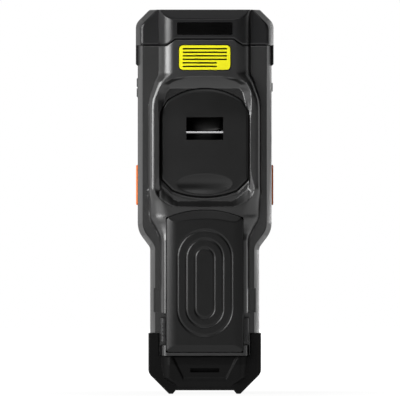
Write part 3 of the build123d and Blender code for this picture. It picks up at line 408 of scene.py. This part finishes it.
# %% [markdown]
# ## Places taken from the mechanical parts
#
# The surfaces below are drawn in millimetres, and they start from where the mechanical parts are: the flat
# under the label, the strap plate, the battery and the cap. Heights count from the floor, widths from the
# middle, and depths grow away from the viewer.

# %% Places
HUMP_RISE, SHELF_THICKNESS, SEAM_RISE = 7.3, 2.2, 3.2

lowest = {node: np.array(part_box(node)[0]) / MM for node in nodes}
highest = {node: np.array(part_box(node)[1]) / MM for node in nodes}
hump_y = highest["asset_label"][1]  # the flat of the raised spine
shelf_y = hump_y + HUMP_RISE  # the flat beside the spine
joint_y = shelf_y + SHELF_THICKNESS  # where the two housings meet
battery_low, battery_high = lowest["battery_case"], highest["battery_case"]
plate_low, plate_high = lowest["strap_plate"], highest["strap_plate"]
cap_top = highest["head_cap"][2]
seam_side = lowest["scan_engine"][2] - 0.2
seam_top = seam_side + SEAM_RISE
recess_low, recess_high = plate_low[2] - 3.7, plate_high[2] + 6.4
rail_half = battery_high[0] + 2.6
print("spine", round(hump_y, 2), "recess", round(recess_low, 1), round(recess_high, 1))
print("cap", round(cap_top, 1), "rail", round(rail_half, 2))

# %% [markdown]
# ## A moulded surface as a depth over a grid
#
# Seen from behind, a moulded cover is a landscape: each point has one depth. So a cover can be computed as
# `depth(x, z)` on a grid that is fine where the form turns and coarse where it is flat. A second sheet behind
# it and a strip round every border close it to a solid. Sculpting or booleans would give the same form, but
# here each shoulder keeps a radius that can be read and changed.


# %% Grids and closed solids
def spaced(*stretches):
    """Grid lines for stretches (start, end, step) that follow each other."""
    lines = [np.linspace(a, b, max(1, round((b - a) / step)), endpoint=False) for a, b, step in stretches]
    return np.concatenate([*lines, [stretches[-1][1]]])


def mirrored(lines):
    """The lines and their mirror images, from left to right."""
    return np.concatenate([-lines[:0:-1], lines])


def solid(x, z, back, front, keep=None):
    """Points and faces of the solid between the depths back and front, over the grid of x and z.

    keep says which cells of the grid are there. An edge that only one kept cell has is a border, and gets a
    quad from the back sheet to the front one.
    """
    rows, columns = x.shape
    points = np.concatenate([np.stack([x, y, z], axis=-1).reshape(-1, 3) for y in (back, front)])
    cells = grid_cells(rows, columns)
    cells = cells.reshape(-1, 4) if keep is None else cells[keep]
    edges = np.stack([cells, np.roll(cells, -1, axis=1)], axis=-1).reshape(-1, 2)
    pairs = edges.min(axis=1) * rows * columns + edges.max(axis=1)
    _, first, counts = np.unique(pairs, return_index=True, return_counts=True)
    rim = edges[first[counts == 1]]
    strip = np.stack([rim[:, 1], rim[:, 0], rim[:, 0] + rows * columns, rim[:, 1] + rows * columns], axis=-1)
    faces = np.concatenate([cells, cells[:, ::-1] + rows * columns, strip])
    used, faces = np.unique(faces, return_inverse=True)
    return points[used] * MM, faces.reshape(-1, 4)


# %% [markdown]
# Three small functions give every edge its form: how wide the form is at a height, how far a point lies
# inside two edges that meet in a round corner, and how far a quarter-round edge has dropped there.


# %% Edges as functions
def bank(z, heights, halves, soft):
    """A half width that follows straight runs through the pairs, with its corners eased by a running mean.

    Gives the half width at z and how fast it changes there.
    """
    step = 0.25
    dense = np.arange(-40, 280, step)
    window = np.ones(max(1, round(soft / step)))
    run = np.interp(dense, heights, halves)
    eased = np.convolve(run, window / len(window), mode="same")
    return np.interp(z, dense, eased), np.interp(z, dense, np.gradient(eased, step))


def inside(x, z, heights, halves, soft):
    """The distance inside a bank, measured square to it."""
    half, slope = bank(z, heights, halves, soft)
    return (half - np.abs(x)) / np.sqrt(1 + slope**2)


def meet(a, b, radius):
    """The distance inside two edges that meet in a corner of this radius: an arc near it, else the nearer."""
    arc = radius - np.hypot(radius - np.minimum(a, radius), radius - np.minimum(b, radius))
    return np.where((a < radius) & (b < radius), arc, np.minimum(a, b))


def drop(distance, radius):
    """How far a quarter-round edge has dropped at a distance inside it: radius less the circle's height."""
    across = radius - np.clip(distance, 0, radius)
    return radius - np.sqrt(np.maximum(radius**2 - across**2, 0))


# %% [markdown]
# ## The raised spine
#
# One raised form runs from the bottom to the top of the back: narrow rails beside the battery, wide shoulders
# round the recess, and long soft shoulders at the head. Its edge is a quarter round whose radius changes with
# height: tight beside the recess, wide at the head and at the waist. The flat is crowned a little, as every
# moulded flat is, so that light slides over it.


# %% Spine as a depth
def spine(x, z):
    """Flat plus crown, plus a quarter-round edge of changing radius, plus a steep flank down to the shelf."""
    heights = [recess_low - 19, recess_low - 8.5, recess_low + 4, recess_low + 10]
    heights += [recess_high - 17.5, recess_high - 12.8, recess_high - 2.9, recess_high + 1.7]
    halves = rail_half + np.array([0, 7.0, 7.0, 6.5, 6.5, 6.1, 3.0, 1.6])
    stations = [recess_low - 20, recess_low - 13, recess_low - 6, recess_low + 2, recess_low + 8]
    stations += [recess_high - 12, recess_high - 3, recess_high + 2]
    radius = np.interp(z, stations, [3.2, 8.0, 12.0, 8.0, 2.8, 2.8, 4.2, 8.6])
    reach = shelf_y - hump_y
    lift = np.maximum(radius - reach, 0)
    edge = inside(x, z, heights, halves, 5.0) + radius - np.sqrt(radius**2 - lift**2)
    rounded = drop(edge, radius)
    flank = np.minimum(radius, reach) + (reach - np.minimum(radius, reach)) * np.clip(-edge / 0.8, 0, 1)
    fall = np.where(edge > 0, np.minimum(rounded, reach), flank)
    crown = np.minimum(0.0009 * x**2, 0.55)
    return hump_y + np.minimum(fall + crown, reach)


# %% [markdown]
# ## The rear housing
#
# The rear housing carries the recess for the strap plate, the open battery bay and the two latch channels.
# The recess is cut as a ramp: short and steep at the sides, long at the top, and soft at the bottom, where it
# turns into the sill over the battery. The grid's rows are not level: they pass through the battery's arch,
# the two ends of the plate and the seam under the cap, so every edge falls on a row and stays crisp.


# %% Curves the rows pass through
def arch_drop(x, half, rise):
    """How far an arch of this half span and rise has dropped at x, from the circle through its ends."""
    radius = (half**2 + rise**2) / (2 * rise)
    return radius - np.sqrt(radius**2 - np.minimum(np.abs(x), half) ** 2)


def seam_height(x):
    """The seam under the cap: level in the middle and lower at the sides, with a slope between."""
    return np.interp(np.abs(x), [rail_half - 7.8, rail_half - 3.0], [seam_top, seam_side])


def plate_end(x, level, corner_x, rise, corner_z):
    """Where the strap plate ends at x: an arc in the middle, then a straight slant to its side."""
    side = np.minimum(np.abs(x), plate_half)
    slant = np.clip((side - corner_x) / (plate_half - corner_x), 0, 1) * corner_z
    return level + np.sign(recess_low + 30 - level) * (arch_drop(side, corner_x, rise) + slant)


def plate_base_at(x):
    """The strap plate's lower end."""
    return plate_end(x, plate_low[2], 17.8, 3.5, 6.4)


def plate_roof_at(x):
    """The strap plate's upper end."""
    return plate_end(x, plate_high[2], 20.5, 6.6, 6.3)


def rows_through(curves, counts):
    """Rows of heights that pass through the curves in turn, with so many steps from each to the next."""
    rows = [a + (b - a) * np.arange(n)[:, None] / n for a, b, n in zip(curves, curves[1:], counts)]
    return np.concatenate([*rows, curves[-1][None]])


# %% [markdown]
# A step in the form needs two lines of the grid that lie a hair apart, one for its upper and one for its
# lower edge. Below the waist the outer columns are drawn inwards, because the grip is narrower than the head.

# %% Grid of the rear housing
HAIR = 0.03
CHANNEL_HALF, CHANNEL_LOW, CHANNEL_HIGH = 24.65, 26.8, 44.6  # the latch channels
POCKET_HALF, POCKET_LOW, POCKET_HIGH = 25.208, 45.1, 58.4  # the clip pockets, outside this half width
BAY_GAP, BAY_TOP, BAY_ARCH = 0.22, 101.82, 4.4  # the gap round the battery, and the arch over it
HEAD_GRID_HALF, PULL_START = 33.9, 25.0  # the grid's half width at the head, and where the drawing in starts

plate_half = plate_high[0]
bay_half, bay_low = battery_high[0] + BAY_GAP, battery_low[2] - BAY_GAP
groove = 0.45  # between the strap plate and its pocket
horn_top = highest["bottom_bumper"][2] + 0.2
foot_x = rail_half + 1.6  # where the head's shoulders end on the shelf
house_half = ([0, 81.3, 91.6, 240], [rail_half + w for w in (3.2, 3.2, 10.1, 10.1)])

across = mirrored(
    spaced(
        (0, 12, 0.9), (12, bay_half, 0.45), (bay_half, plate_half, 0.35), (plate_half, CHANNEL_HALF, 0.45),
        (CHANNEL_HALF, CHANNEL_HALF + HAIR, HAIR), (CHANNEL_HALF + HAIR, foot_x, 0.24), (foot_x, 25.9, 0.25),
        (25.9, 25.95, 0.05), (25.95, 31.5, 0.34), (31.5, HEAD_GRID_HALF, 0.8),
    )
)
level = np.ones_like(across)
steep = np.sqrt(1 + np.gradient(plate_base_at(across), across) ** 2)
steep_roof = np.sqrt(1 + np.gradient(plate_roof_at(across), across) ** 2)
heights = [21.2, bay_low, CHANNEL_LOW, CHANNEL_LOW + HAIR, horn_top, CHANNEL_HIGH, CHANNEL_HIGH + HAIR]
heights += [POCKET_LOW, POCKET_LOW + HAIR, POCKET_HIGH, POCKET_HIGH + HAIR, 80, 88]
stops = [height * level for height in heights] + [BAY_TOP - arch_drop(across, bay_half, BAY_ARCH)]
stops += [plate_base_at(across) - groove * steep, plate_base_at(across), 139 * level, 154 * level]
stops += [plate_roof_at(across), plate_roof_at(across) + groove * steep_roof, 179 * level]
stops += [seam_height(across) - 1.4, seam_height(across) - 0.2]
steps = [2, 6, 1, 6, 8, 1, 1, 1, 6, 1, 12, 14, 26, 34, 2, 14, 6, 8, 2, 44, 12, 6]
place_z = rows_through(stops, steps)
row_at = np.concatenate([[0], np.cumsum(steps)])  # the row that lies on each stop
horn_row, bay_rows = row_at[4], slice(row_at[1], row_at[13])
plate_rows, window_rows = slice(row_at[15], row_at[18] + 1), slice(row_at[16], row_at[17])
half, _ = bank(place_z, *house_half, 6.0)
pull = np.clip((np.abs(across) - PULL_START) / (HEAD_GRID_HALF - PULL_START), 0, 1)
place_x = np.sign(across) * (np.abs(across) + (half - HEAD_GRID_HALF) * pull)
print("rear housing grid", place_x.shape)

# %% Recess, channels and pockets as a depth
RECESS_DEPTH = 3.5


def recess_ramp(x, z):
    """0 at the recess's rim and 1 where its floor begins, from the distances to its sides, top and bottom."""
    heights = [recess_low + 7, recess_low + 17, recess_high - 13, recess_high - 8]
    heights += [recess_high - 3, recess_high - 1.2, recess_high]
    half, slope = bank(z, heights, [28.0, 25.8, 25.8, 25.4, 22.7, 17.8, 12.0], 3.0)
    levels = [recess_low + 8, recess_low + 16, recess_high - 24, recess_high - 13, recess_high - 3]
    width = np.interp(z, levels, [4.5, 1.75, 1.75, 4.3, 6.0])
    side = (half + 0.6 - np.abs(x)) / np.sqrt(1 + slope**2) / width
    step = np.interp(side, [0, 0.78, 1], [0, 0.2, 1])
    side = side + (step - side) * np.interp(z, levels, [0, 1, 1, 0, 0])
    ridge = recess_low - 1.6 + np.interp(np.abs(x), [17.5, 22, 25, 27, 29], [0, 1.5, 3.0, 5.2, 8.7])
    bottom = (z - ridge) / np.interp(np.abs(x), [15, 24], [3.2, 8.0])
    return meet(meet(side, bottom, 0.7), (recess_high - z) / 6.4, 0.35)


def sag(z):
    """How much deeper than its flat part the recess's floor lies towards the top: grows with the square."""
    return 0.0036 * np.maximum(z - 150, 0) ** 2


def rear_depth(x, z):
    """The spine, with the recess cut into it, the latch channels and the shallow clip pockets."""
    ramp = np.clip(recess_ramp(x, z), 0, 1)
    depth = np.maximum(spine(x, z), np.where(ramp > 0, hump_y + (RECESS_DEPTH + sag(z)) * ramp, hump_y))
    away = np.abs(x)
    channel = (away < CHANNEL_HALF + 0.01) & (z > CHANNEL_LOW + 0.01) & (z < CHANNEL_HIGH + 0.01)
    depth = np.where(channel, shelf_y - 0.2, depth)
    pocket = (away > POCKET_HALF) & (z > POCKET_LOW + 0.02) & (z < POCKET_HIGH + 0.01)
    depth = np.where(pocket, np.maximum(depth, shelf_y + 1.3), depth)
    below = (plate_base_at(x) - groove * steep - z) / steep
    lip = 0.3 * np.clip(1.1 - below, 0, 1.1) * (below > -0.05) * (away < 24.7)
    return depth + lip + drop(seam_height(x) - 0.2 - z, 0.6)


# %% [markdown]
# The grid only makes the back. The sides and the inside of a shell are taken from the mechanical part: its
# merged copy is cut at one depth, the cut is filled, and the part behind it joins the new back.


# %% Cutting, joining and covering
def columns_within(lines, reach):
    """The first and the last of the grid lines that lie within a distance of the middle."""
    within = np.flatnonzero(np.abs(lines) < reach + 0.01)
    return within[0], within[-1]


def cut_copy(node, depth):
    """Points and faces of what a node has behind a depth, closed at the cut."""
    points, triangles = merged(node)
    mesh = bmesh.new()
    corners = [mesh.verts.new(p) for p in points.tolist()]
    for a, b, c in triangles.tolist():
        if mesh.faces.get((corners[a], corners[b], corners[c])) is None:
            mesh.faces.new((corners[a], corners[b], corners[c]))
    everything = [*mesh.verts, *mesh.edges, *mesh.faces]
    made = bmesh.ops.bisect_plane(
        mesh, geom=everything, dist=1e-7, plane_co=(0, depth * MM, 0), plane_no=(0, 1, 0), clear_inner=True,
    )
    rim = [e for e in made["geom_cut"] if isinstance(e, bmesh.types.BMEdge)]
    bmesh.ops.triangle_fill(mesh, edges=rim, use_beauty=True, use_dissolve=False)
    bmesh.ops.recalc_face_normals(mesh, faces=mesh.faces[:])
    mesh.verts.index_update()
    cut_points = np.array([v.co[:] for v in mesh.verts])
    cut_faces = [[v.index for v in f.verts] for f in mesh.faces]
    mesh.free()
    return cut_points, cut_faces


def joined(*solids):
    """Several closed solids as one list of points and faces."""
    points, faces, count = [], [], 0
    for some_points, some_faces in solids:
        points.append(np.asarray(some_points))
        faces += [[int(i) + count for i in face] for face in some_faces]
        count += len(some_points)
    return np.concatenate(points), faces


def cover(name, solids, body, slot, node, angle=32):
    """A piece of one or more closed solids that takes a node's place, smooth but for its sharp edges."""
    piece = put(name, *joined(*solids), body, slot)
    piece.data.set_sharp_from_angle(angle=math.radians(angle))
    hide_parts(node)
    print(name, len(piece.data.polygons), "faces")


# %% Rear housing
rear_back = rear_depth(place_x, place_z)
first, last = columns_within(across, plate_half)
rear_back[plate_rows, first : last + 1] = plate_high[1] + 0.02
kept = np.ones((len(place_z) - 1, len(across) - 1), bool)
first, last = columns_within(across, bay_half)
kept[bay_rows, first:last] = False
first, last = columns_within(across, highest["strap_bar"][0] - 1.2)
kept[window_rows, first:last] = False
outer = np.flatnonzero(np.abs(across) > 25.1)  # low down, the bumper's horns fill these columns
kept[:horn_row, outer[outer < len(across) // 2]] = False
kept[:horn_row, outer[outer > len(across) // 2] - 1] = False
rear_solid = solid(place_x, place_z, rear_back, np.full_like(rear_back, joint_y + 0.02), kept)
rear_solids = [rear_solid, cut_copy("rear_housing", joint_y)]
cover("rear_cover", rear_solids, "terminal", "housing", "rear_housing")

# %% [markdown]
# ## The head cap
#
# The cap carries the same shoulders up to a slanted top. The slant is a plane at 45 degrees that cuts the
# spine's flat, so the depth is the larger of the two. A shallow pocket holds the bare inlay. The sides and
# the front come from the mechanical part, cut where the two shells meet.

# %% Grid of the head cap
CAP_LIP = 3.15  # how far the cap's sides stand past the edge of its grid
CAP_TAPER = 8.9  # height and width of the cap's cut corners
INLAY_GAP, INLAY_DEPTH = 0.12, 0.55

cap_half = highest["head_cap"][0]
slant_low = cap_top - 5.5
inlay_half = highest["inlay_panel"][0] + INLAY_GAP
inlay_low, inlay_high = lowest["inlay_panel"][2], highest["inlay_panel"][2]
cap_across = mirrored(
    spaced(
        (0, inlay_half, 1.0), (inlay_half, inlay_half + HAIR, HAIR), (inlay_half + HAIR, foot_x, 0.36),
        (foot_x, 30, 0.4), (30, 34.95, 0.7),
    )
)
flat = np.ones_like(cap_across)
cap_seam = seam_height(cap_across)
cap_stops = [cap_seam, cap_seam + 1.4, (inlay_low - INLAY_GAP - HAIR) * flat, (inlay_low - INLAY_GAP) * flat]
cap_stops += [(inlay_high + INLAY_GAP) * flat, (inlay_high + INLAY_GAP + HAIR) * flat]
cap_stops += [(cap_top - 0.8) * flat, cap_top * flat]
cap_steps = [8, 3, 1, 10, 1, 20, 6]
cap_z = rows_through(cap_stops, cap_steps)
cap_row = np.concatenate([[0], np.cumsum(cap_steps)])
inlay_rows = slice(cap_row[3], cap_row[4] + 1)
grid_half = cap_half - CAP_LIP
cap_halves = ([0, cap_top - CAP_TAPER, cap_top], [grid_half, grid_half, grid_half - CAP_TAPER])
cap_edge, _ = bank(cap_z, *cap_halves, 3.0)
widen = np.clip((np.abs(cap_across) - 22) / 12.95, 0, 1)
cap_x = np.sign(cap_across) * (np.abs(cap_across) + (cap_edge - grid_half) * widen)
print("cap grid", cap_x.shape)


# %% Head cap
def cap_depth(x, z):
    """The deeper of the spine and the 45-degree slant, with the line between them eased, and rolled edges."""
    level, slant = spine(x, z), hump_y + (z - slant_low)
    eased = 0.125 * (1 - np.minimum(np.abs(level - slant) / 0.5, 1)) ** 2
    rim = np.minimum(cap_top - z, cap_edge - np.abs(x)) + 0.02
    return np.maximum(level, slant) + eased + drop(rim, 0.5) + drop(z - seam_height(x), 1.3)


cap_back = cap_depth(cap_x, cap_z)
first, last = columns_within(cap_across, inlay_half)
cap_back[inlay_rows, first : last + 1] = hump_y + INLAY_DEPTH
cap_solid = solid(cap_x, cap_z, cap_back, np.full_like(cap_back, joint_y + 0.02))
cover("head_cover", [cap_solid, cut_copy("head_cap", joint_y)], "terminal", "head_cap", "head_cap")

# %% [markdown]
# ## The battery pack
#
# The pack closes the back of the grip. Its back is crowned, its long sides roll off over six millimetres, and
# two flat slants end it: a tall one under the arched top and a short one at the bottom. Three rounded-end
# rings are pressed into it as V-shaped lines. A ring is the set of points at one distance from a short
# upright line, so the line's depth falls off with the distance from that set.

# %% Battery pack's edges and depth
PACK_GAP = 0.12  # to the bay's edge
RINGS = (15.0, 10.1, 5.2)  # half widths of the three rings
RING_STRAIGHT = 14.1  # half length of their straight sides
SIDE_ROLL, ROLL_RADIUS = 6.0, 12.0

pack_half, pack_low, pack_top = bay_half - PACK_GAP, bay_low + PACK_GAP, BAY_TOP - PACK_GAP
pack_y, pack_cut = battery_low[1], battery_low[1] + 5.0
ring_z = battery_low[2] + 38.35
pack_across = mirrored(spaced((0, 17, 0.3), (17, pack_half - 0.6, 0.4), (pack_half - 0.6, pack_half, 0.12)))


def pack_top_edge(x):
    """The arched top, with round corners."""
    corner = 2.2
    past = np.clip(np.abs(x) - (pack_half - corner), 0, corner)
    return pack_top - arch_drop(x, pack_half, BAY_ARCH) - drop(corner - past, corner)


def ring_line(x, z, half):
    """1 on a rounded-end ring and 0 from 0.7 mm away, falling evenly between."""
    away = np.hypot(x, np.maximum(np.abs(z - ring_z) - RING_STRAIGHT, 0)) - half
    return np.clip(1 - np.abs(away) / 0.7, 0, 1)


def pack_depth(x, z):
    """Crown, side rolls and slants; the deepest of them wins, and the rings are pressed into it."""
    inward = SIDE_ROLL - np.clip(pack_half - np.abs(x), 0, SIDE_ROLL)
    roll = ROLL_RADIUS - np.sqrt(ROLL_RADIUS**2 - inward**2)
    crest = pack_top - 5.0 - np.minimum(x**2 / 138, 3.4)
    upper = np.maximum(z - crest, 0) * 0.32
    lower = np.maximum(pack_low + 3.8 - z, 0) * 0.45
    rings = sum(ring_line(x, z, half) for half in RINGS)
    return pack_y + 0.0008 * x**2 + np.maximum(np.maximum(roll, upper), lower) + 0.45 * np.clip(rings, 0, 1)


# %% Battery pack
pack_base = pack_low + np.clip(np.abs(pack_across) - (pack_half - 1.3), 0, 1.3)
pack_roof = pack_top_edge(pack_across)
pack_stops = [pack_base, pack_base + 0.6, 27.5 + 0 * pack_base]
pack_stops += [96 - 0.002 * pack_across**2, pack_roof - 0.6, pack_roof]
pack_z = rows_through(pack_stops, [5, 10, 200, 16, 5])
pack_x = pack_across + 0 * pack_z
rim_gap = np.minimum(np.minimum(pack_roof - pack_z, pack_z - pack_base), pack_half - np.abs(pack_x))
pack_back = pack_depth(pack_x, pack_z) + drop(rim_gap, 0.5)
pack_solid = solid(pack_x, pack_z, pack_back, np.full_like(pack_back, pack_cut + 0.02))
pack_solids = [pack_solid, cut_copy("battery_case", pack_cut)]
cover("battery_cover", pack_solids, "battery", "battery_shell", "battery_case", 50)

# %% [markdown]
# ## The strap plate
#
# A flat plate with rounded edges fills the recess. Its rows run between its lower and its upper outline, so
# the slanted corners stay exact. The finger scoop is a bowl, whose depth lessens with the squared distance
# from its middle. The cells where the strap passes through are left out.

# %% Grid of the strap plate
window_half, window_low, window_high = 10.15, 140.3, 152.8
plate_across = mirrored(
    spaced(
        (0, window_half, 0.7), (window_half, 17.8, 0.45), (17.8, plate_half - 1, 0.4),
        (plate_half - 1, plate_half, 0.14),
    )
)
even = np.ones_like(plate_across)
base, roof = plate_base_at(plate_across), plate_roof_at(plate_across)
plate_steps = [8, 34, 8, 10, 12, 8]
plate_stops = [base, base + 1.2, 124 * even, window_low * even, window_high * even, roof - 1.2, roof]
plate_z = rows_through(plate_stops, plate_steps)
plate_x = plate_across + 0 * plate_z
scoop_z = plate_low[2] + 7.3
print("plate grid", plate_x.shape)


# %% Strap plate
def plate_depth(x, z):
    """Flat, with a bowl for a finger and a rounded edge all round."""
    bowl = 1.7 * np.clip(1 - (x / 15.5) ** 2 - ((z - scoop_z) / 5.6) ** 2, 0, 1)
    ends = np.minimum((z - base) / np.interp(np.abs(x), [0, 17.8, 18], [1, 1.1, 1.4]), (roof - z) / 1.2)
    edge = 1.5 - np.clip(meet(plate_half - np.abs(x), ends, 1.0), 0, 1.5)
    return plate_low[1] + bowl + 0.0006 * x**2 + 0.36 * edge**2 + sag(z)


plate_kept = np.ones((len(plate_z) - 1, len(plate_across) - 1), bool)
first, last = columns_within(plate_across, window_half)
plate_row = np.cumsum(plate_steps)
plate_kept[plate_row[2] : plate_row[3], first:last] = False
plate_back = plate_depth(plate_x, plate_z)
plate_solid = solid(plate_x, plate_z, plate_back, np.full_like(plate_back, plate_high[1]), plate_kept)
cover("strap_cover", [plate_solid], "terminal", "strap_plate", "strap_plate")

# %% [markdown]
# ## The bottom bumper
#
# The bumper is a thick shoe with a raised chin. The chin's sides and its underside slope away, and a
# trapezoid is pressed into it round the strap slot. The underside and the trapezoid's walls are planes, so
# each is a straight ramp in one distance. The chin's sides are such a ramp raised to a power, which rounds
# them a little. The rows run from the lower outline, with its two feet, to the upper one, with its two horns.

# %% Grid of the bumper
shoe_half, shoe_top = highest["bottom_bumper"][0], lowest["rear_housing"][2] - 0.2
horn_in, foot = rail_half + 1.3, 1.95
shoe_y, chin_y, shoe_cut = shelf_y - 1.0, lowest["bottom_bumper"][1], shelf_y + 0.2
slot_low, slot_high, slot_half = 11.9, 14.3, 8.0
shoe_across = mirrored(
    spaced(
        (0, slot_half, 0.5), (slot_half, 16, 0.4), (16, 17.6, 0.4), (17.6, 19.75, 0.43),
        (19.75, horn_in, 0.4), (horn_in, horn_in + 0.05, 0.05), (horn_in + 0.05, 30, 0.45),
        (30, shoe_half, 0.12),
    )
)
away = np.abs(shoe_across)
sole = np.interp(away, [0, 16, 17.6, 19.75, 31.15], [foot, foot, 0, 0, 11.4])
round_side = 13.68 - np.sqrt(np.maximum(5.5**2 - (away - 25.65) ** 2, 0))
sole = np.where(away > 29.54, round_side, sole)
brim = np.where(away < horn_in + 0.02, shoe_top, highest["bottom_bumper"][2])
runs = spaced(
    (foot, foot + 0.8, 0.13), (foot + 0.8, slot_low, 0.3), (slot_low, slot_high, 0.3), (slot_high, 20.4, 0.3),
    (20.4, shoe_top, 0.12),
)
part_way = (runs - foot) / (shoe_top - foot)
shoe_z = sole + part_way[:, None] * (brim - sole)
shoe_x = shoe_across + 0 * shoe_z
print("bumper grid", shoe_x.shape)

# %% Bottom bumper
PANEL_LOW, PANEL_HIGH = 7.9, 20.2  # the pressed trapezoid's lower and upper edge


def shoe_depth(x, z):
    """The shoe's flat, the sloping chin over it, the pressed trapezoid, and rolled edges."""
    away = np.abs(x)
    chin_half = np.interp(z, [foot, 9.0, shoe_top], [16.3, 23.8, 23.8])
    rise = np.clip((chin_half - away) / 4.6, 0, 1)
    under = 0.22 * np.maximum(16 - z, 0) + 0.5 * np.maximum(7.0 - z, 0)
    chin = chin_y + under + 4.4 * (1 - rise) ** 1.4
    panel_half = np.interp(z, [PANEL_LOW, PANEL_HIGH], [12.0, 18.3])
    pressed = np.clip(np.minimum((panel_half - away) / 1.1, (z - PANEL_LOW) / 1.3), 0, 1)
    rim = np.minimum(shoe_half - away, 0.8 * (z - sole))
    top_rim = np.where(z > shoe_top + 0.05, np.minimum(brim - z, away - horn_in), brim - z)
    return np.minimum(shoe_y, chin + 1.1 * pressed) + drop(rim, 1.0) + drop(top_rim, 0.4)


shoe_back = np.minimum(shoe_depth(shoe_x, shoe_z), shoe_cut - 0.05)
shoe_kept = np.ones((len(runs) - 1, len(shoe_across) - 1), bool)
first, last = columns_within(shoe_across, slot_half)
slot_rows = np.flatnonzero((runs > slot_low - 0.01) & (runs < slot_high + 0.01))
shoe_kept[slot_rows[0] : slot_rows[-1], first:last] = False
shoe_solid = solid(shoe_x, shoe_z, shoe_back, np.full_like(shoe_back, shoe_cut + 0.02), shoe_kept)
shoe_solids = [shoe_solid, cut_copy("bottom_bumper", shoe_cut)]
cover("shoe_cover", shoe_solids, "terminal", "bumper", "bottom_bumper")

# %% [markdown]
# ## The print on the sticker, and the painted shade round it
#
# The sticker is blank but for six ruled lines, which are print. Round it lies a dark ring, which is painted
# shade:
# a dark sheet that stands in for the shaded gap at the sticker's edge. Printed ink has no thickness to speak
# of, so a texture would do, but thin solids keep their edges at any distance: the ring is a slightly larger
# rounded rectangle that looks out from under the sticker, and each line is a flat bar on top of it.


# %% Outlines and prisms
def prism(outline, back, front):
    """Points and faces of the solid between two depths, over a closed outline of x and z."""
    count = len(outline)
    points = [np.stack([outline[:, 0], np.full(count, y), outline[:, 1]], axis=-1) for y in (back, front)]
    ring = np.arange(count)
    after = (ring + 1) % count
    sides = np.stack([ring, ring + count, after + count, after], axis=-1)
    return np.concatenate(points) * MM, [tuple(ring), tuple(ring[::-1] + count), *map(tuple, sides)]


def rounded_box(x0, x1, z0, z1, radius, parts=8):
    """The outline of a rectangle with quarter-circle corners."""
    turn = np.linspace(0, np.pi / 2, parts)
    corners = [(x1 - radius, z1 - radius, 0), (x0 + radius, z1 - radius, 1), (x0 + radius, z0 + radius, 2)]
    corners += [(x1 - radius, z0 + radius, 3)]
    turns = [(x, z, turn + k * np.pi / 2) for x, z, k in corners]
    arcs = [np.stack([x + radius * np.cos(t), z + radius * np.sin(t)], axis=-1) for x, z, t in turns]
    return np.concatenate(arcs)


# %% Sticker print and painted edge shade
SHADE_RING_WIDTH = 0.4
MARGIN = 1.9  # from the sticker's edge to the first line's middle
LINE_COUNT, LONG_LINES = 6, 4
LINE_HALF, LINE_REACH, SHORT_REACH = 0.42, 12.2, 6.6

tag_low, tag_high = lowest["asset_label"], highest["asset_label"]
shade_ring_low, shade_ring_high = tag_low - SHADE_RING_WIDTH, tag_high + SHADE_RING_WIDTH
# The first solid is the dark ring, painted shade: a black sheet standing in for the shaded gap round the
# sticker. The bars after it are the printed lines.
border = rounded_box(shade_ring_low[0], shade_ring_high[0], shade_ring_low[2], shade_ring_high[2], 2.2)
lines = [prism(border, hump_y - 0.07, hump_y + 0.3)]
for number, height in enumerate(np.linspace(tag_high[2] - MARGIN, tag_low[2] + MARGIN, LINE_COUNT)):
    end = LINE_REACH if number < LONG_LINES else SHORT_REACH
    bar = rounded_box(-LINE_REACH, end, height - LINE_HALF, height + LINE_HALF, 0.1, 2)
    lines.append(prism(bar, tag_low[1] - 0.03, tag_low[1] + 0.05))
put("sticker_print_and_edge_shade", *joined(*lines), body_of["asset_label"], "inlay", smooth=False)
print("sticker lines", len(lines) - 1)

# %% [markdown]
# ## Arrows on the navigation pad
#
# Each arrow is a small three-sided prism that stands a little proud of the pad. All four are one piece, so
# they move with the pad when it is pressed. The other keys stay bare.

# %% Pad arrows
ARROW_REACH = 6.6  # from the pad's middle to an arrow's middle

pad_low, pad_high = lowest["nav_pad"], highest["nav_pad"]
pad_z = (pad_low[2] + pad_high[2]) / 2
arrows = []
for turn in np.radians([0, 90, 180, 270]):
    tips = turn + np.radians([0, 120, 240])
    tip_x = ARROW_REACH * np.cos(turn) + np.cos(tips)
    tip_z = pad_z + ARROW_REACH * np.sin(turn) + np.sin(tips)
    outline = np.stack([tip_x, tip_z], axis=-1)
    arrows.append(prism(outline, pad_high[1] - 0.3, pad_high[1] + 0.04))
put("nav_arrows", *joined(*arrows), body_of["nav_pad"], "label", smooth=False)
print("arrows", len(arrows))

# %% [markdown]
# ## The remaining parts
#
# Keys, triggers, glass, boards and screws have the right form already, so each gets a smooth, bevelled copy
# in its own finish. The loop goes through them by name, so that every run makes them in the same order.

# %% Every other mechanical part keeps its form
done = {"rear_housing", "head_cap", "battery_case", "strap_plate", "bottom_bumper"}
springs = {"latch_spring_left": "latch_left_slide", "latch_spring_right": "latch_right_slide"}
for node in sorted(set(nodes) - done - set(springs)):
    skin(node, slot_of[node], body_of[node])
print("skins", len(nodes) - len(done) - len(springs))

# %% [markdown]
# ## The latch springs
#
# Each latch slides up against a small spring, whose upper end stays against the housing. Here each spring
# only gets a smooth copy without a bevel, with a mesh of its own; nothing makes it shorter as the latch
# travels.

for node, joint in springs.items():
    spring = skin(node, slot_of[node], body_of[node], bevel=0)
    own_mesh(spring)
